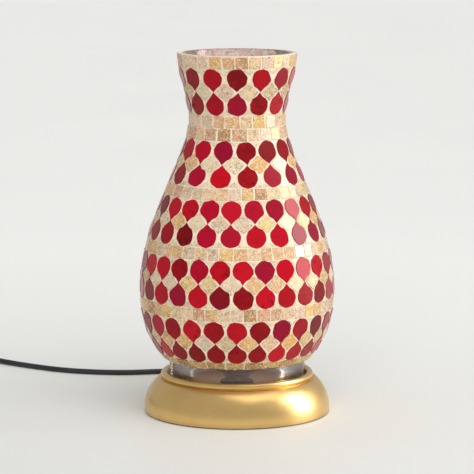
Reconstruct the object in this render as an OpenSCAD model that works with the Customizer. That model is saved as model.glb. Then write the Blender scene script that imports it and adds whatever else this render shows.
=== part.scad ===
// Mosaic glass table lamp: a blown glass vase covered with flat glass tiles, standing in the
// well of a spun metal base, with a screw lampholder, a bulb and a mains lead.
// Millimetres, +Z up, origin at the centre of the plane that the feet stand on.

/* [Base] */
// Outer diameter of the spun base
base_d = 150; // [128:1:190]
// Height of the straight band at the foot of the dome
band_h = 4.2; // [2:0.2:10]
// Height of the dome from the band to the lip
dome_h = 23.1; // [18:0.1:36]
// Sheet thickness of the spun base
sheet_t = 1.2; // [0.8:0.1:2]
// Radius of the rolled lip around the well
lip_r = 2.8; // [1.6:0.05:4]
// Width of the step between the dome's top and the lip
lip_step = 1.8; // [0:0.1:3]
// Depth of the well below the top of the lip
well_depth = 10.5; // [8:0.5:16]
// Gap between the feet's plane and the base's lower edge
edge_gap = 0.8; // [0.4:0.1:2]
// Thickness of the bottom plate
plate_t = 1.6; // [1:0.1:3]
// Diameter of a rubber foot
foot_d = 12; // [8:1:18]

/* [Vase] */
// Outer diameter of the bare glass collar
collar_d = 110; // [90:1:118]
// Height of the mosaic's lower edge above the well floor
collar_h = 21.2; // [16:0.2:30]
// Tile face diameter at the mosaic's lower edge
hem_d = 117.2; // [100:0.2:130]
// Height from the mosaic's lower edge to the belly
belly_h = 57.6; // [50:0.2:80]
// Tile face diameter at the belly
belly_d = 156.8; // [130:0.2:190]
// Height from the belly to the shoulder
shoulder_h = 88; // [75:1:110]
// Tile face diameter at the shoulder
shoulder_d = 108; // [90:1:130]
// Height from the shoulder to the neck
neck_h = 50; // [42:1:64]
// Tile face diameter at the neck
neck_d = 77; // [70:1:92]
// Height from the neck to the rim
flare_h = 51.5; // [40:1:60]
// Tile face diameter at the rim
rim_d = 95.8; // [80:0.2:112]
// Wall of the blown glass
glass_t = 2.6; // [2:0.1:4]

/* [Mosaic] */
// Thickness of a glass tile
tile_t = 2; // [1.6:0.1:3]
// Thickness of the mortar bed under the tiles
bed_t = 1; // [0.6:0.1:2]
// Joint between neighbouring tiles
joint = 1.2; // [0.8:0.1:2]
// Height of a square tile
square_h = 8.8; // [7:0.2:11]
// Width of a square tile
square_w = 8.8; // [7:0.2:11]
// Height of the cut tiles at the hem
cut_h = 6.8; // [5:0.2:9]
// Length of a drop tile
drop_l = 17.8; // [15:0.2:21]
// Width of a drop tile where there is room for it
drop_w = 16.2; // [12:0.2:18]
// Number of drops in each row, from the top band to the bottom one
drop_counts = [14, 15, 22, 27, 26];

/* [Lampholder and bulb] */
// Outer diameter of the lampholder
holder_d = 38; // [34:1:44]
// Height of the lampholder
holder_h = 47; // [42:1:56]
// Outer diameter of the hollow threaded nipple
nipple_d = 10; // [8:1:13]
// Diameter of the bulb's screw cap
bulb_cap_d = 26.4; // [22:0.1:27]
// Diameter of the bulb's globe
globe_d = 45; // [40:1:60]
// Length of the bulb
bulb_l = 78; // [70:1:105]

/* [Lead] */
// Diameter of the round mains lead
cord_d = 4.5; // [4:0.1:5.4]
// Length of the tapered strain relief
relief_l = 25; // [20:1:40]
// Length of the inline switch
switch_l = 62; // [52:1:70]
// Width of the inline switch
switch_w = 27; // [24:1:32]
// Height of the inline switch
switch_h = 17; // [15:1:22]
// Length of the plug's moulded body
plug_l = 36; // [30:1:42]
// Width of the plug's moulded body at the pins
plug_w = 26; // [24:1:30]
// Thickness of the plug's moulded body
plug_t = 14; // [12:1:17]
// Distance between the plug's pins
pin_gap = 18.6; // [17:0.2:20]
// Diameter of a plug pin
pin_d = 4; // [3.8:0.1:4.8]
// Length of a plug pin outside the body
pin_l = 19; // [16:1:21]

/* [Clearances] */
// Gap between the glass collar and the well's wall
seat_gap = 1.2; // [0.4:0.1:2]
// Gap between pieces that are put together by hand
fit_gap = 0.3; // [0.2:0.05:0.5]
// Gap between a fastener and its hole
hole_gap = 0.2; // [0.1:0.05:0.4]

/* [Hidden] */
$fn = 96;
eps = 0.01;

// ---- Base: derived sizes ----
base_r = base_d / 2;
collar_r = collar_d / 2;
well_r = collar_r + seat_gap;
lip_mid_r = well_r + lip_r;
lip_out_r = well_r + 2 * lip_r;
dome_top_z = edge_gap + band_h + dome_h;
lip_top_z = dome_top_z + 2 * lip_r;
well_z = lip_top_z - well_depth;
dome_in = base_r - lip_out_r - lip_step;
dome_r = (dome_in * dome_in + dome_h * dome_h) / (2 * dome_in);
dome_mid_r = base_r - dome_r;
plate_z = edge_gap + 1.6;
post_circle_r = well_r - 12;
post_r = 4;
foot_circle_r = base_r - 13;
plate_screw_r = 2;
gasket_t = 1.8;
collar_z = well_z + gasket_t;
cord_r = cord_d / 2;
relief_neck_r = cord_r + 2.2;
relief_flange_r = cord_r + 3.2;
relief_tip_y = base_r + relief_l - 1;
relief_y0 = base_r - sheet_t - 3.9;
cord_exit_z = plate_z + plate_t + relief_flange_r + 0.55;

// ---- Lampholder: derived sizes ----
nipple_r = nipple_d / 2;
nipple_bore_r = nipple_r - 1.3;
washer_t = 1.5;
lock_washer_t = 1.2;
nut_t = 4;
nut_across = nipple_d + 7;
nipple_z = well_z - sheet_t - lock_washer_t - nut_t - 1.2;
holder_z = well_z + washer_t;
holder_r = holder_d / 2;
holder_wall = 2.2;
holder_neck_r = nipple_r + 4.5;
holder_neck_h = 3.3;
holder_cone_h = 8;
holder_cap_h = 19.5;
holder_ledge_h = 13.3;
spigot_h = 4;
core_t = 10;
core_z = holder_z + holder_ledge_h;
shell_z = holder_z + holder_cap_h;
contact_z = core_z + core_t;
thread_r = bulb_cap_d / 2 + fit_gap;
thread_t = 0.5;
thread_h = 21;
tongue_t = 2.5;
bulb_z = contact_z + tongue_t;
nipple_top_z = holder_z + holder_neck_h + 4;
core_wire_r = 1.1;
core_wire_x = 1.5;

// ---- Bulb: derived sizes ----
globe_r = globe_d / 2;
globe_z = bulb_z + bulb_l - globe_r;
envelope_t = 0.8;
cap_z = bulb_z + 3.5;
cap_h = 22;
cap_t = 0.4;
neck_r = bulb_cap_d / 2 - cap_t - fit_gap;
neck_z0 = cap_z + cap_h - 6;
neck_z1 = globe_z - globe_r * 0.62;
neck_top_r = globe_r * 0.76;

// ---- Vase: the face curve, from the rim down ----
hem_z = well_z + collar_h;
belly_z = hem_z + belly_h;
shoulder_z = belly_z + shoulder_h;
neck_z = shoulder_z + neck_h;
rim_z = neck_z + flare_h;
// Each knot is its height, its radius and the curve's slope there, dr/dz
knots = [
    [rim_z, rim_d / 2, 0], [neck_z, neck_d / 2, 0], [shoulder_z, shoulder_d / 2, -0.44],
    [belly_z, belly_d / 2, 0], [hem_z, hem_d / 2, 0.9]
];
skin_t = tile_t + bed_t + 0.3;
tile_back = tile_t + 0.1;
bed_back = skin_t - 0.1;
curve_steps = 64;

// A cubic between two knots, at height z
function cubic_r(a, b, z) =
    let (h = b[0] - a[0], t = (z - a[0]) / h, u = 1 - t)
    (1 + 2 * t) * u * u * a[1] + t * u * u * h * a[2]
    + t * t * (3 - 2 * t) * b[1] - t * t * u * h * b[2];
function knot_below(z, i = 1) = (z >= knots[i][0] || i == len(knots) - 1) ? i : knot_below(z, i + 1);
function face_r(z) = let (i = knot_below(z)) cubic_r(knots[i - 1], knots[i], z);
function slope(z) =
    let (a = min(z + 0.2, rim_z), b = max(z - 0.2, hem_z))
    (face_r(a) - face_r(b)) / (a - b);
// The point at depth d behind the tile faces at height z, as [radius, height]
function behind(z, d) =
    let (s = slope(z), q = sqrt(1 + s * s))
    [face_r(z) - d / q, z + d * s / q];
curve_z = [for (i = [0:curve_steps]) rim_z - (rim_z - hem_z) * i / curve_steps];
// Distance along the curve from the rim to each point of curve_z
function run_to(i) = i == 0 ? 0 :
    run_to(i - 1) + norm([curve_z[i] - curve_z[i - 1], face_r(curve_z[i]) - face_r(curve_z[i - 1])]);
curve_run = [for (i = [0:curve_steps]) run_to(i)];
curve_l = curve_run[curve_steps];
height_table = [for (i = [0:curve_steps]) [curve_run[i], curve_z[i]]];
function z_at(run) = lookup(run, height_table);

// ---- Mosaic rows: c is a cut row, s a row of squares, d a row of drops ----
row_kinds = ["s", "d", "d", "s", "s", "d", "d", "s", "d", "d", "s", "d", "d", "s", "d", "d", "c"];
function row_h(i) = row_kinds[i] == "c" ? cut_h : row_kinds[i] == "s" ? square_h : drop_l;
function rows_above(i) = i == 0 ? 0 : rows_above(i - 1) + row_h(i - 1) + joint;
// The rows are stretched a little, so that they fill the curve
stretch = curve_l / (rows_above(len(row_kinds)) + joint);
function row_top(i) = stretch * (rows_above(i) + joint);
function row_mid(i) = row_top(i) + stretch * row_h(i) / 2;
function row_len(i) = stretch * row_h(i);
function round_count(w, z) = floor(2 * PI * (face_r(z) - tile_back) / (w + joint));
// The first row of each band of drops
band_rows = [1, 5, 8, 11, 14];
// How far each band is turned round the axis, in degrees
band_turns = [12.9, -8.5, 4.3, 6.8, 6.9];

// How far the back of a flat tile has to stand off, where the curve is hollow
function stand_off(run, h) =
    let (z = z_at(run), s = slope(z), q = sqrt(1 + s * s), p = behind(z, tile_back))
    max([for (k = [-0.5, 0.5])
        let (e = behind(z_at(min(max(run + k * h, 0), curve_l)), tile_back))
        ((e[0] - p[0]) - (e[1] - p[1]) * s) / q]);

// Puts a flat outline on the bed as a tile, with +Y of the outline up the vase
module tile(run, h, turn) {
    z = z_at(run);
    lift = max(0, stand_off(run, h)) + 0.04;
    p = behind(z, tile_back - lift);
    rotate([0, 0, turn]) translate([p[0], 0, p[1]])
        rotate([0, atan(slope(z)), 0]) rotate([90, 0, 90])
            linear_extrude(tile_t) children();
}

module square_row(i, count, shift = 0) {
    run = row_mid(i);
    h = row_len(i);
    top = behind(z_at(run - h / 2), tile_back)[0];
    low = behind(z_at(run + h / 2), tile_back)[0];
    half_top = top * sin(180 / count) - joint / 2;
    half_low = low * sin(180 / count) - joint / 2;
    outline = [[-half_low, -h / 2], [half_low, -h / 2], [half_top, h / 2], [-half_top, h / 2]];
    for (k = [0:count - 1])
        tile(run, h, (k + shift) * 360 / count) polygon(outline);
}

// ---- Drops: round at one end and pointed at the other ----
drop_point_angle = 44;
function drop_round_r(i, up, count) =
    let (run = up ? row_top(i) + drop_w / 2 : row_top(i) + row_len(i) - drop_w / 2)
    min(drop_w / 2, behind(z_at(run), tile_back)[0] * sin(180 / count) - joint / 2);

// The point is at y = 0 and the round end is towards +Y
module drop_outline(r, l) {
    mid = l - r;
    inner = mid - 0.45 * r;
    translate([0, mid]) circle(r);
    polygon([[0, 0], [inner * tan(drop_point_angle), inner], [-inner * tan(drop_point_angle), inner]]);
}

module drop_row(i, up, count, turn) {
    l = row_len(i);
    r = drop_round_r(i, up, count);
    for (k = [0:count - 1])
        tile(row_mid(i), l, k * 360 / count + turn)
            rotate([0, 0, up ? 0 : 180]) translate([0, -l / 2]) drop_outline(r, l);
}

module drop_band(b) {
    drop_row(band_rows[b], true, drop_counts[b], band_turns[b]);
    drop_row(band_rows[b] + 1, false, drop_counts[b], band_turns[b]);
}

// Four-pointed tiles between the points of a band's drops
module diamond_band(b) {
    i = band_rows[b];
    count = drop_counts[b];
    run = row_top(i + 1) - stretch * joint / 2;
    r = min(drop_round_r(i, true, count), drop_round_r(i + 1, false, count));
    half_pitch = behind(z_at(run), tile_back)[0] * sin(180 / count);
    tip_x = half_pitch - joint;
    tip_y = drop_l / 2 - joint;
    waist_y = drop_l - 1.75 * r;
    waist_x = max(half_pitch - waist_y * tan(drop_point_angle) - joint, 1);
    sides = [
        [tip_x, 0], [waist_x, waist_y], [0, tip_y], [-waist_x, waist_y],
        [-tip_x, 0], [-waist_x, -waist_y], [0, -tip_y], [waist_x, -waist_y]
    ];
    for (k = [0:count - 1])
        tile(run, 2 * tip_y, (k + 0.5) * 360 / count + band_turns[b]) polygon(sides);
}

// Small three-sided tiles between the round ends and the rows next to them
module corner_row(b, up) {
    i = up ? band_rows[b] : band_rows[b] + 1;
    count = drop_counts[b];
    r = drop_round_r(i, up, count);
    h = 4.4;
    edge = up ? row_top(i) : row_top(i) + row_len(i);
    run = edge + (up ? h / 2 : -h / 2);
    half_pitch = behind(z_at(run), tile_back)[0] * sin(180 / count);
    wide = half_pitch - sqrt(r * r - pow(r - 0.8, 2)) - 0.8;
    waist = half_pitch - sqrt(r * r - pow(r - 2.4, 2)) - 0.8;
    outline = [[-wide, h / 2], [-waist, h / 2 - 1.9], [0, -h / 2], [waist, h / 2 - 1.9], [wide, h / 2]];
    for (k = [0:count - 1])
        tile(run, h, (k + 0.5) * 360 / count + band_turns[b])
            rotate([0, 0, up ? 0 : 180]) polygon(outline);
}

// ---- Lead: the route, chosen by hand, and its sweep ----
run_route = [
    [0, 70, 10], [0, 85, 10], [0, 99, 10], [0, 108, 8.8], [-1, 117, 6.4], [-4, 127, 3.8],
    [-11, 137, 2.4], [-23, 145, 2.3], [-42, 149, 2.3], [-67, 148, 2.3], [-95, 143, 2.3],
    [-122, 145, 2.3], [-152, 154, 2.3], [-183, 173, 2.3], [-212, 194, 2.8], [-226, 203, 4.6],
    [-237, 210, 6.5]
];
link_route = [
    [-291, 241, 6.5], [-299, 244, 4.9], [-308, 243, 3.4], [-315.5, 238, 2.5], [-320, 230, 2.3],
    [-320.8, 221, 2.3], [-318, 207, 2.3], [-311, 190, 2.8], [-305.5, 176, 3.15]
];
tail_route = [
    [-300, 147, 12.1], [-300, 142, 11.6], [-300, 136, 10.2], [-300, 129, 8.3], [-300, 122, 7.3],
    [-300, 116, 7.1]
];
coil_at = [-275, 165, 0.9];
coil_mid_r = 25;
coil_layers = 3;
coil_half = coil_layers * cord_r;
tie_t = 0.7;
tie_w = 9;
switch_at = [-264, 225.5, 0];
switch_turn = 150;
plug_at = [-300, 110, 0.1 + plug_t / 2];

// A smooth curve through four points, between the second and the third
function curve(p, t) =
    0.5 * (2 * p[1] + (p[2] - p[0]) * t + (2 * p[0] - 5 * p[1] + 4 * p[2] - p[3]) * t * t
    + (3 * p[1] - p[0] - 3 * p[2] + p[3]) * t * t * t);
function near(r, i) = r[min(max(i, 0), len(r) - 1)];
function along(r, steps) = concat(
    [for (i = [0:len(r) - 2], k = [0:steps - 1])
        curve([near(r, i - 1), r[i], r[i + 1], near(r, i + 2)], k / steps)],
    [r[len(r) - 1]]
);
function unit(v) = v / norm(v);

// A round tube along a route that is nowhere upright
module sweep(route, r, sides = 10, steps = 2) {
    p = along(route, steps);
    n = len(p);
    rings = [for (i = [0:n - 1])
        let (t = unit(near(p, i + 1) - near(p, i - 1)), side = unit(cross(t, [0, 0, 1])),
             up = cross(side, t))
        for (k = [0:sides - 1]) p[i] + r * (cos(k * 360 / sides) * side + sin(k * 360 / sides) * up)];
    walls = [for (i = [0:n - 2], k = [0:sides - 1])
        let (a = i * sides + k, b = i * sides + (k + 1) % sides)
        [a, b, b + sides, a + sides]];
    ends = [[for (k = [sides - 1:-1:0]) k], [for (k = [0:sides - 1]) (n - 1) * sides + k]];
    polyhedron(rings, concat(walls, ends));
}

// ---- Shared shapes ----
module ring(r_out, r_in, h) {
    rotate_extrude() translate([r_in, 0]) square([r_out - r_in, h]);
}

module around(count, first = 0) {
    for (k = [0:count - 1]) rotate([0, 0, first + k * 360 / count]) children();
}

module hex_nut(across, bore_r, h) {
    difference() {
        cylinder(r = across / 2 / cos(30), h = h, $fn = 6);
        translate([0, 0, -1]) cylinder(r = bore_r, h = h + 2);
    }
}

// ---- Base ----
function arc(mid, r, from, to, steps) =
    [for (i = [0:steps]) let (a = from + (to - from) * i / steps) mid + r * [cos(a), sin(a)]];
// One side of the dome at a depth under its outer face, from the band up
function dome_arc(inset) =
    arc([dome_mid_r, edge_gap + band_h], dome_r - inset, 0,
        asin((dome_h - inset) / (dome_r - inset)), 24);

module base_shell() {
    hole_r = nipple_r + hole_gap;
    inner_arc = dome_arc(sheet_t);
    color("goldenrod") difference() {
        rotate_extrude() polygon(concat(
            [[base_r, edge_gap]], dome_arc(0), [[lip_mid_r + 0.6 * lip_r, dome_top_z]],
            arc([lip_mid_r, dome_top_z + lip_r], lip_r, -50, 180, 28),
            [[well_r, well_z], [hole_r, well_z], [hole_r, well_z - sheet_t]],
            [[well_r + sheet_t, well_z - sheet_t], [well_r + sheet_t, dome_top_z - sheet_t]],
            [for (i = [len(inner_arc) - 1:-1:0]) inner_arc[i]],
            [[base_r - sheet_t, edge_gap]]
        ));
        translate([0, base_r - 20, cord_exit_z]) rotate([-90, 0, 0])
            cylinder(r = relief_neck_r + hole_gap, h = 40);
    }
}

module plate_posts() {
    top = well_z - sheet_t;
    color("silver") around(3, 30) translate([post_circle_r, 0, plate_z + plate_t])
        difference() {
            cylinder(r = post_r, h = top - plate_z - plate_t);
            translate([0, 0, -1]) cylinder(r = plate_screw_r + 0.05, h = 10);
        }
}

module bottom_plate() {
    color("dimgray") difference() {
        translate([0, 0, plate_z]) cylinder(r = base_r - sheet_t - fit_gap, h = plate_t);
        around(3, 30) translate([post_circle_r, 0, 0])
            cylinder(r = plate_screw_r + hole_gap, h = 10);
    }
}

module plate_screws() {
    color("silver") around(3, 30) translate([post_circle_r, 0, plate_z]) {
        translate([0, 0, -1.5]) cylinder(r = 3.6, h = 1.5);
        translate([0, 0, -eps]) cylinder(r = plate_screw_r, h = plate_t + 7);
    }
}

module rubber_feet() {
    color("black") around(4, 45) translate([foot_circle_r, 0, 0])
        cylinder(r = foot_d / 2, h = plate_z);
}

module seat_gasket() {
    color("white") translate([0, 0, well_z]) ring(collar_r + 0.4, collar_r - glass_t - 2, gasket_t);
}

// ---- Lampholder fixing ----
module threaded_nipple() {
    color("gold") translate([0, 0, nipple_z]) ring(nipple_r, nipple_bore_r, nipple_top_z - nipple_z);
}

module floor_washer() {
    color("dimgray") translate([0, 0, well_z]) ring(13.5, nipple_r + hole_gap, washer_t);
}

module lock_washer() {
    color("silver") translate([0, 0, well_z - sheet_t - lock_washer_t])
        ring(nipple_r + 4.5, nipple_r + hole_gap, lock_washer_t);
}

module nipple_nut() {
    color("silver") translate([0, 0, well_z - sheet_t - lock_washer_t - nut_t])
        hex_nut(nut_across, nipple_r + 0.05, nut_t);
}

// ---- Lead inside the base ----
grip_y = base_r - 27;

module strain_relief() {
    l = relief_tip_y - relief_y0;
    color("black") translate([0, relief_y0, cord_exit_z]) rotate([-90, 0, 0]) difference() {
        rotate_extrude() polygon([
            [0, 0], [relief_flange_r, 0], [relief_flange_r, 1.5], [relief_neck_r, 1.5],
            [relief_neck_r, 5.6], [relief_flange_r, 5.6], [relief_flange_r, 7.4],
            [cord_r + 0.9, l], [0, l]
        ]);
        translate([0, 0, -1]) cylinder(r = cord_r + 0.05, h = l + 2);
    }
}

module inner_cord() {
    length = relief_y0 - grip_y + 8;
    color("black") translate([0, grip_y - 8, cord_exit_z]) rotate([-90, 0, 0])
        cylinder(r = cord_r, h = length);
}

module cord_grip() {
    top = well_z - sheet_t;
    color("dimgray") difference() {
        translate([-13, grip_y - 5, cord_exit_z - cord_r - 1.4])
            cube([26, 10, 2 * cord_r + 2.8]);
        translate([0, grip_y - 10, cord_exit_z]) rotate([-90, 0, 0]) cylinder(r = cord_r + 0.05, h = 20);
        for (x = [-8.5, 8.5]) translate([x, grip_y, 0]) cylinder(r = 1.5 + hole_gap, h = top);
    }
}

module grip_screws() {
    top = well_z - sheet_t;
    low = cord_exit_z - cord_r - 1.4;
    color("silver") for (x = [-8.5, 8.5]) translate([x, grip_y, low]) {
        translate([0, 0, -1.4]) cylinder(r = 2.8, h = 1.4);
        translate([0, 0, -eps]) cylinder(r = 1.5, h = top - low);
    }
}

module live_and_neutral_cores() {
    bend = 6;
    top = core_z;
    color("saddlebrown") for (x = [-core_wire_x, core_wire_x]) {
        translate([x, bend, cord_exit_z]) rotate([-90, 0, 0])
            cylinder(r = core_wire_r, h = grip_y - 8 - bend);
        translate([x, bend, cord_exit_z + bend]) rotate([90, 0, 0]) rotate([0, 90, 0])
            rotate_extrude(angle = 90, start = 180) translate([bend, 0]) circle(core_wire_r);
        translate([x, 0, cord_exit_z + bend]) cylinder(r = core_wire_r, h = top - cord_exit_z - bend);
    }
}

// ---- Lampholder ----
module cap_section(inset) {
    polygon([
        [0, inset], [holder_neck_r - inset, inset], [holder_neck_r - inset, holder_neck_h + inset / 2],
        [holder_r - inset - 3, holder_neck_h + holder_cone_h - 3],
        [holder_r - inset, holder_neck_h + holder_cone_h], [holder_r - inset, holder_cap_h],
        [0, holder_cap_h]
    ]);
}

module holder_cap() {
    floor_t = holder_neck_h + 3;
    color("darkslategray") translate([0, 0, holder_z]) difference() {
        rotate_extrude() cap_section(0);
        rotate_extrude() intersection() {
            cap_section(holder_wall);
            translate([0, floor_t]) square([holder_r, holder_ledge_h - 2 - floor_t]);
        }
        translate([0, 0, holder_ledge_h - 3]) cylinder(r = holder_r - holder_wall - 3.4, h = 4);
        translate([0, 0, holder_ledge_h]) cylinder(r = holder_r - holder_wall, h = holder_cap_h);
        translate([0, 0, -1]) cylinder(r = nipple_r + 0.05, h = floor_t + 2);
    }
}

module holder_shell() {
    shell_r = holder_r - 0.4;
    bore = holder_r - holder_wall - 2.2;
    color("darkslategray") translate([0, 0, shell_z]) rotate_extrude() difference() {
        union() {
            translate([0, 0]) square([shell_r, holder_h - holder_cap_h - 1.5]);
            translate([0, 0]) square([shell_r - 1.5, holder_h - holder_cap_h]);
            translate([0, -spigot_h]) square([holder_r - holder_wall - fit_gap / 2, spigot_h + eps]);
        }
        translate([-1, -spigot_h - 1]) square([bore + 1, holder_h + 2]);
    }
}

module holder_core() {
    r = holder_r - holder_wall - 2.2 - fit_gap;
    color("ivory") translate([0, 0, core_z]) difference() {
        union() {
            cylinder(r = r, h = core_t);
            cylinder(r = holder_r - holder_wall - fit_gap, h = 1.8);
        }
        for (x = [-9, 9]) translate([x, 0, core_t - 5]) cylinder(r = 1.6, h = 6);
    }
}

module thread_contact() {
    color("gold") translate([0, 0, contact_z]) ring(thread_r + thread_t, thread_r, thread_h);
}

module centre_contact() {
    color("gold") translate([0, 0, contact_z]) difference() {
        translate([-2.5, -7, 0]) cube([5, 10.5, tongue_t]);
        translate([-3, -5.6, 0.5]) cube([6, 20, tongue_t - 1]);
    }
}

module terminal_screws() {
    color("silver") for (x = [-9, 9]) translate([x, 0, contact_z - 4.9]) cylinder(r = 1.5, h = 5.6);
}

// ---- Bulb ----
module bulb_cap() {
    r = bulb_cap_d / 2;
    color("silver") translate([0, 0, cap_z]) rotate_extrude() difference() {
        union() {
            translate([0, 2]) square([r, cap_h - 2]);
            polygon([[0, 0], [r - 2, 0], [r, 2 + eps], [0, 2 + eps]]);
        }
        translate([-1, 0.6]) square([r - 2 - cap_t + 1, 2]);
        translate([-1, 2.4]) square([r - cap_t + 1, cap_h]);
    }
}

module bulb_contact() {
    color("gold") translate([0, 0, bulb_z]) cylinder(r = 4.6, h = 1.2);
}

module bulb_insulator() {
    color("black") translate([0, 0, bulb_z + 1.2])
        cylinder(r1 = 5.4, r2 = bulb_cap_d / 2 - 2.4, h = cap_z - bulb_z - 1.2);
}

module envelope_section(inset) {
    translate([0, globe_z]) circle(globe_r - inset, $fn = 200);
    polygon([
        [0, neck_z0 + (inset > 0 ? -1 : 0)], [neck_r - inset, neck_z0 + (inset > 0 ? -1 : 0)],
        [neck_r - inset, neck_z0 + 8], [neck_top_r - inset * 1.3, neck_z1 + 0.5], [0, neck_z1 + 0.5]
    ]);
}

module bulb_envelope() {
    color("lightyellow") rotate_extrude() intersection() {
        difference() {
            envelope_section(0);
            envelope_section(envelope_t);
        }
        translate([0, bulb_z]) square([globe_r + 1, bulb_l + 1]);
    }
}

module bulb_stem() {
    foot = neck_z0 - 1;
    color("lightcyan") translate([0, 0, foot]) {
        cylinder(r = neck_r - envelope_t - 1, h = 2.5);
        translate([0, 0, 2.5 - eps]) cylinder(r1 = 5, r2 = 2, h = globe_z - foot - 2.5);
    }
}

module bulb_filaments() {
    color("orange") around(4) translate([6.5, 0, globe_z - 13]) cylinder(r = 0.8, h = 26);
}

// ---- Vase ----
module vase_section(front, back) {
    polygon(concat(
        [for (z = curve_z) behind(z, front)],
        [for (i = [curve_steps:-1:0]) behind(curve_z[i], back)]
    ));
}

module glass_vase() {
    inner = collar_r - glass_t;
    low = behind(hem_z, skin_t);
    low_in = behind(hem_z, skin_t + glass_t);
    color("lightblue") rotate_extrude() {
        vase_section(skin_t, skin_t + glass_t);
        polygon([
            [inner, collar_z], [collar_r, collar_z], [collar_r, hem_z - 1.5], [collar_r + 0.4, hem_z],
            low, low_in, [inner + 0.4, hem_z - 0.5], [inner, hem_z - 2.5]
        ]);
    }
}

module mortar_bed() {
    color("linen") rotate_extrude() vase_section(tile_back, bed_back);
}

// ---- Rows of tiles ----
module rim_squares() {
    color("tan") square_row(0, round_count(square_w, z_at(row_mid(0))));
}

module neck_squares() {
    count = round_count(square_w, z_at(row_mid(3)));
    color("burlywood") {
        square_row(3, count);
        square_row(4, count, 0.5);
    }
}

module shoulder_squares() {
    color("tan") square_row(7, round_count(square_w, z_at(row_mid(7))));
}

module waist_squares() {
    color("burlywood") square_row(10, round_count(square_w, z_at(row_mid(10))));
}

module belly_squares() {
    color("tan") square_row(13, round_count(square_w, z_at(row_mid(13))));
}

module hem_tiles() {
    color("peru") square_row(16, drop_counts[4], 0.5);
}

module drops_band_1() { color("darkred") drop_band(0); }
module drops_band_2() { color("darkred") drop_band(1); }
module drops_band_3() { color("firebrick") drop_band(2); }
module drops_band_4() { color("darkred") drop_band(3); }
module drops_band_5() { color("firebrick") drop_band(4); }
module diamonds_band_1() { color("khaki") diamond_band(0); }
module diamonds_band_2() { color("khaki") diamond_band(1); }
module diamonds_band_3() { color("khaki") diamond_band(2); }
module diamonds_band_4() { color("khaki") diamond_band(3); }
module diamonds_band_5() { color("khaki") diamond_band(4); }

module corner_tiles() {
    color("palegoldenrod") for (b = [0:len(band_rows) - 1]) {
        corner_row(b, true);
        corner_row(b, false);
    }
}

// ---- Lead outside the base ----
module cord_run() { color("black") sweep(run_route, cord_r); }
module cord_link() { color("black") sweep(link_route, cord_r); }
module cord_tail() { color("black") sweep(tail_route, cord_r); }

module cord_coil() {
    c = 1.6;
    h = coil_layers * cord_d;
    w = coil_half;
    color("black") translate(coil_at) rotate_extrude() translate([coil_mid_r, 0]) polygon([
        [-w + c, 0], [w - c, 0], [w, c], [w, h - c], [w - c, h], [-w + c, h], [-w, h - c], [-w, c]
    ]);
}

module coil_tie() {
    gap = 0.1;
    in_r = coil_mid_r - coil_half;
    near_x = sqrt(in_r * in_r - tie_w * tie_w / 4) - gap;
    in_w = coil_mid_r + coil_half + gap - near_x;
    in_h = coil_layers * cord_d + 2 * gap;
    color("dimgray") translate([coil_at[0] + near_x, coil_at[1], coil_at[2] - gap - tie_t])
        rotate([90, 0, 0]) translate([0, 0, -tie_w / 2]) linear_extrude(tie_w) difference() {
            translate([-tie_t, 0]) square([in_w + 2 * tie_t, in_h + 2 * tie_t]);
            translate([0, tie_t]) square([in_w, in_h]);
        }
}

// ---- Inline switch, along +X of its own frame ----
switch_wall = 1.8;
split_z = switch_h * 0.52;
switch_cord_z = 6.5;
rocker_l = 17;
rocker_w = 10;
rocker_z = switch_h - 3;
window_l = rocker_l + 1.2;
window_w = rocker_w + 1;

module switch_frame() {
    translate(switch_at) rotate([0, 0, switch_turn]) children();
}

module switch_plan(inset) {
    l = switch_l / 2 - inset;
    w = switch_w / 2 - inset;
    c = 7 - inset * 0.6;
    polygon([
        [-l, -w + c], [-l + 1.6 * c, -w], [l - 1.6 * c, -w], [l, -w + c],
        [l, w - c], [l - 1.6 * c, w], [-l + 1.6 * c, w], [-l, w - c]
    ]);
}

module switch_bores() {
    translate([-switch_l, 0, switch_cord_z]) rotate([0, 90, 0])
        cylinder(r = cord_r + fit_gap, h = 2 * switch_l);
}

module switch_base() {
    color("black") switch_frame() difference() {
        translate([0, 0, 0.1]) linear_extrude(split_z - 0.1) switch_plan(0);
        translate([0, 0, 2]) linear_extrude(split_z) switch_plan(switch_wall);
        switch_bores();
        for (x = [-1, 1]) translate([x * 20, 0, -1]) cylinder(r = 1.3 + hole_gap, h = 6);
    }
}

module switch_cover() {
    color("black") switch_frame() difference() {
        translate([0, 0, split_z]) linear_extrude(switch_h - split_z) switch_plan(0.2);
        translate([0, 0, split_z - 1]) linear_extrude(switch_h - split_z - 1) switch_plan(switch_wall + 0.2);
        translate([-window_l / 2, -window_w / 2, 0]) cube([window_l, window_w, switch_h + 1]);
        switch_bores();
    }
}

// A wedge-topped rocker on two stub axles, level when the switch is half way
module switch_rocker() {
    half = rocker_l / 2;
    color("dimgray") switch_frame() translate([0, 0, rocker_z]) rotate([90, 0, 0]) {
        translate([0, 0, -rocker_w / 2]) linear_extrude(rocker_w) polygon([
            [-half, 1.4], [-half + 1.2, -3], [half - 1.2, -3], [half, 1.4], [half - 0.4, 3.4], [0, 2.4],
            [-half + 0.4, 3.4]
        ]);
        translate([0, 0, -rocker_w / 2 - 0.3]) cylinder(r = 1.2, h = rocker_w + 0.6);
    }
}

module switch_contacts() {
    color("gold") switch_frame() for (x = [-11, 11]) translate([x - 3, -2.5, 2]) {
        cube([6, 5, 0.8]);
        translate([2.5, 0, 0]) cube([1, 5, 3.2]);
    }
}

module switch_screws() {
    color("silver") switch_frame() for (x = [-1, 1]) translate([x * 20, 0, 0.3]) {
        cylinder(r = 1.3, h = 3.2);
        translate([0, 0, 1.7 + eps]) cylinder(r = 2.4, h = 1.6);
    }
}

// ---- Plug, its pins towards -Y ----
pin_root_r = pin_d / 2 - 0.4;

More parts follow.
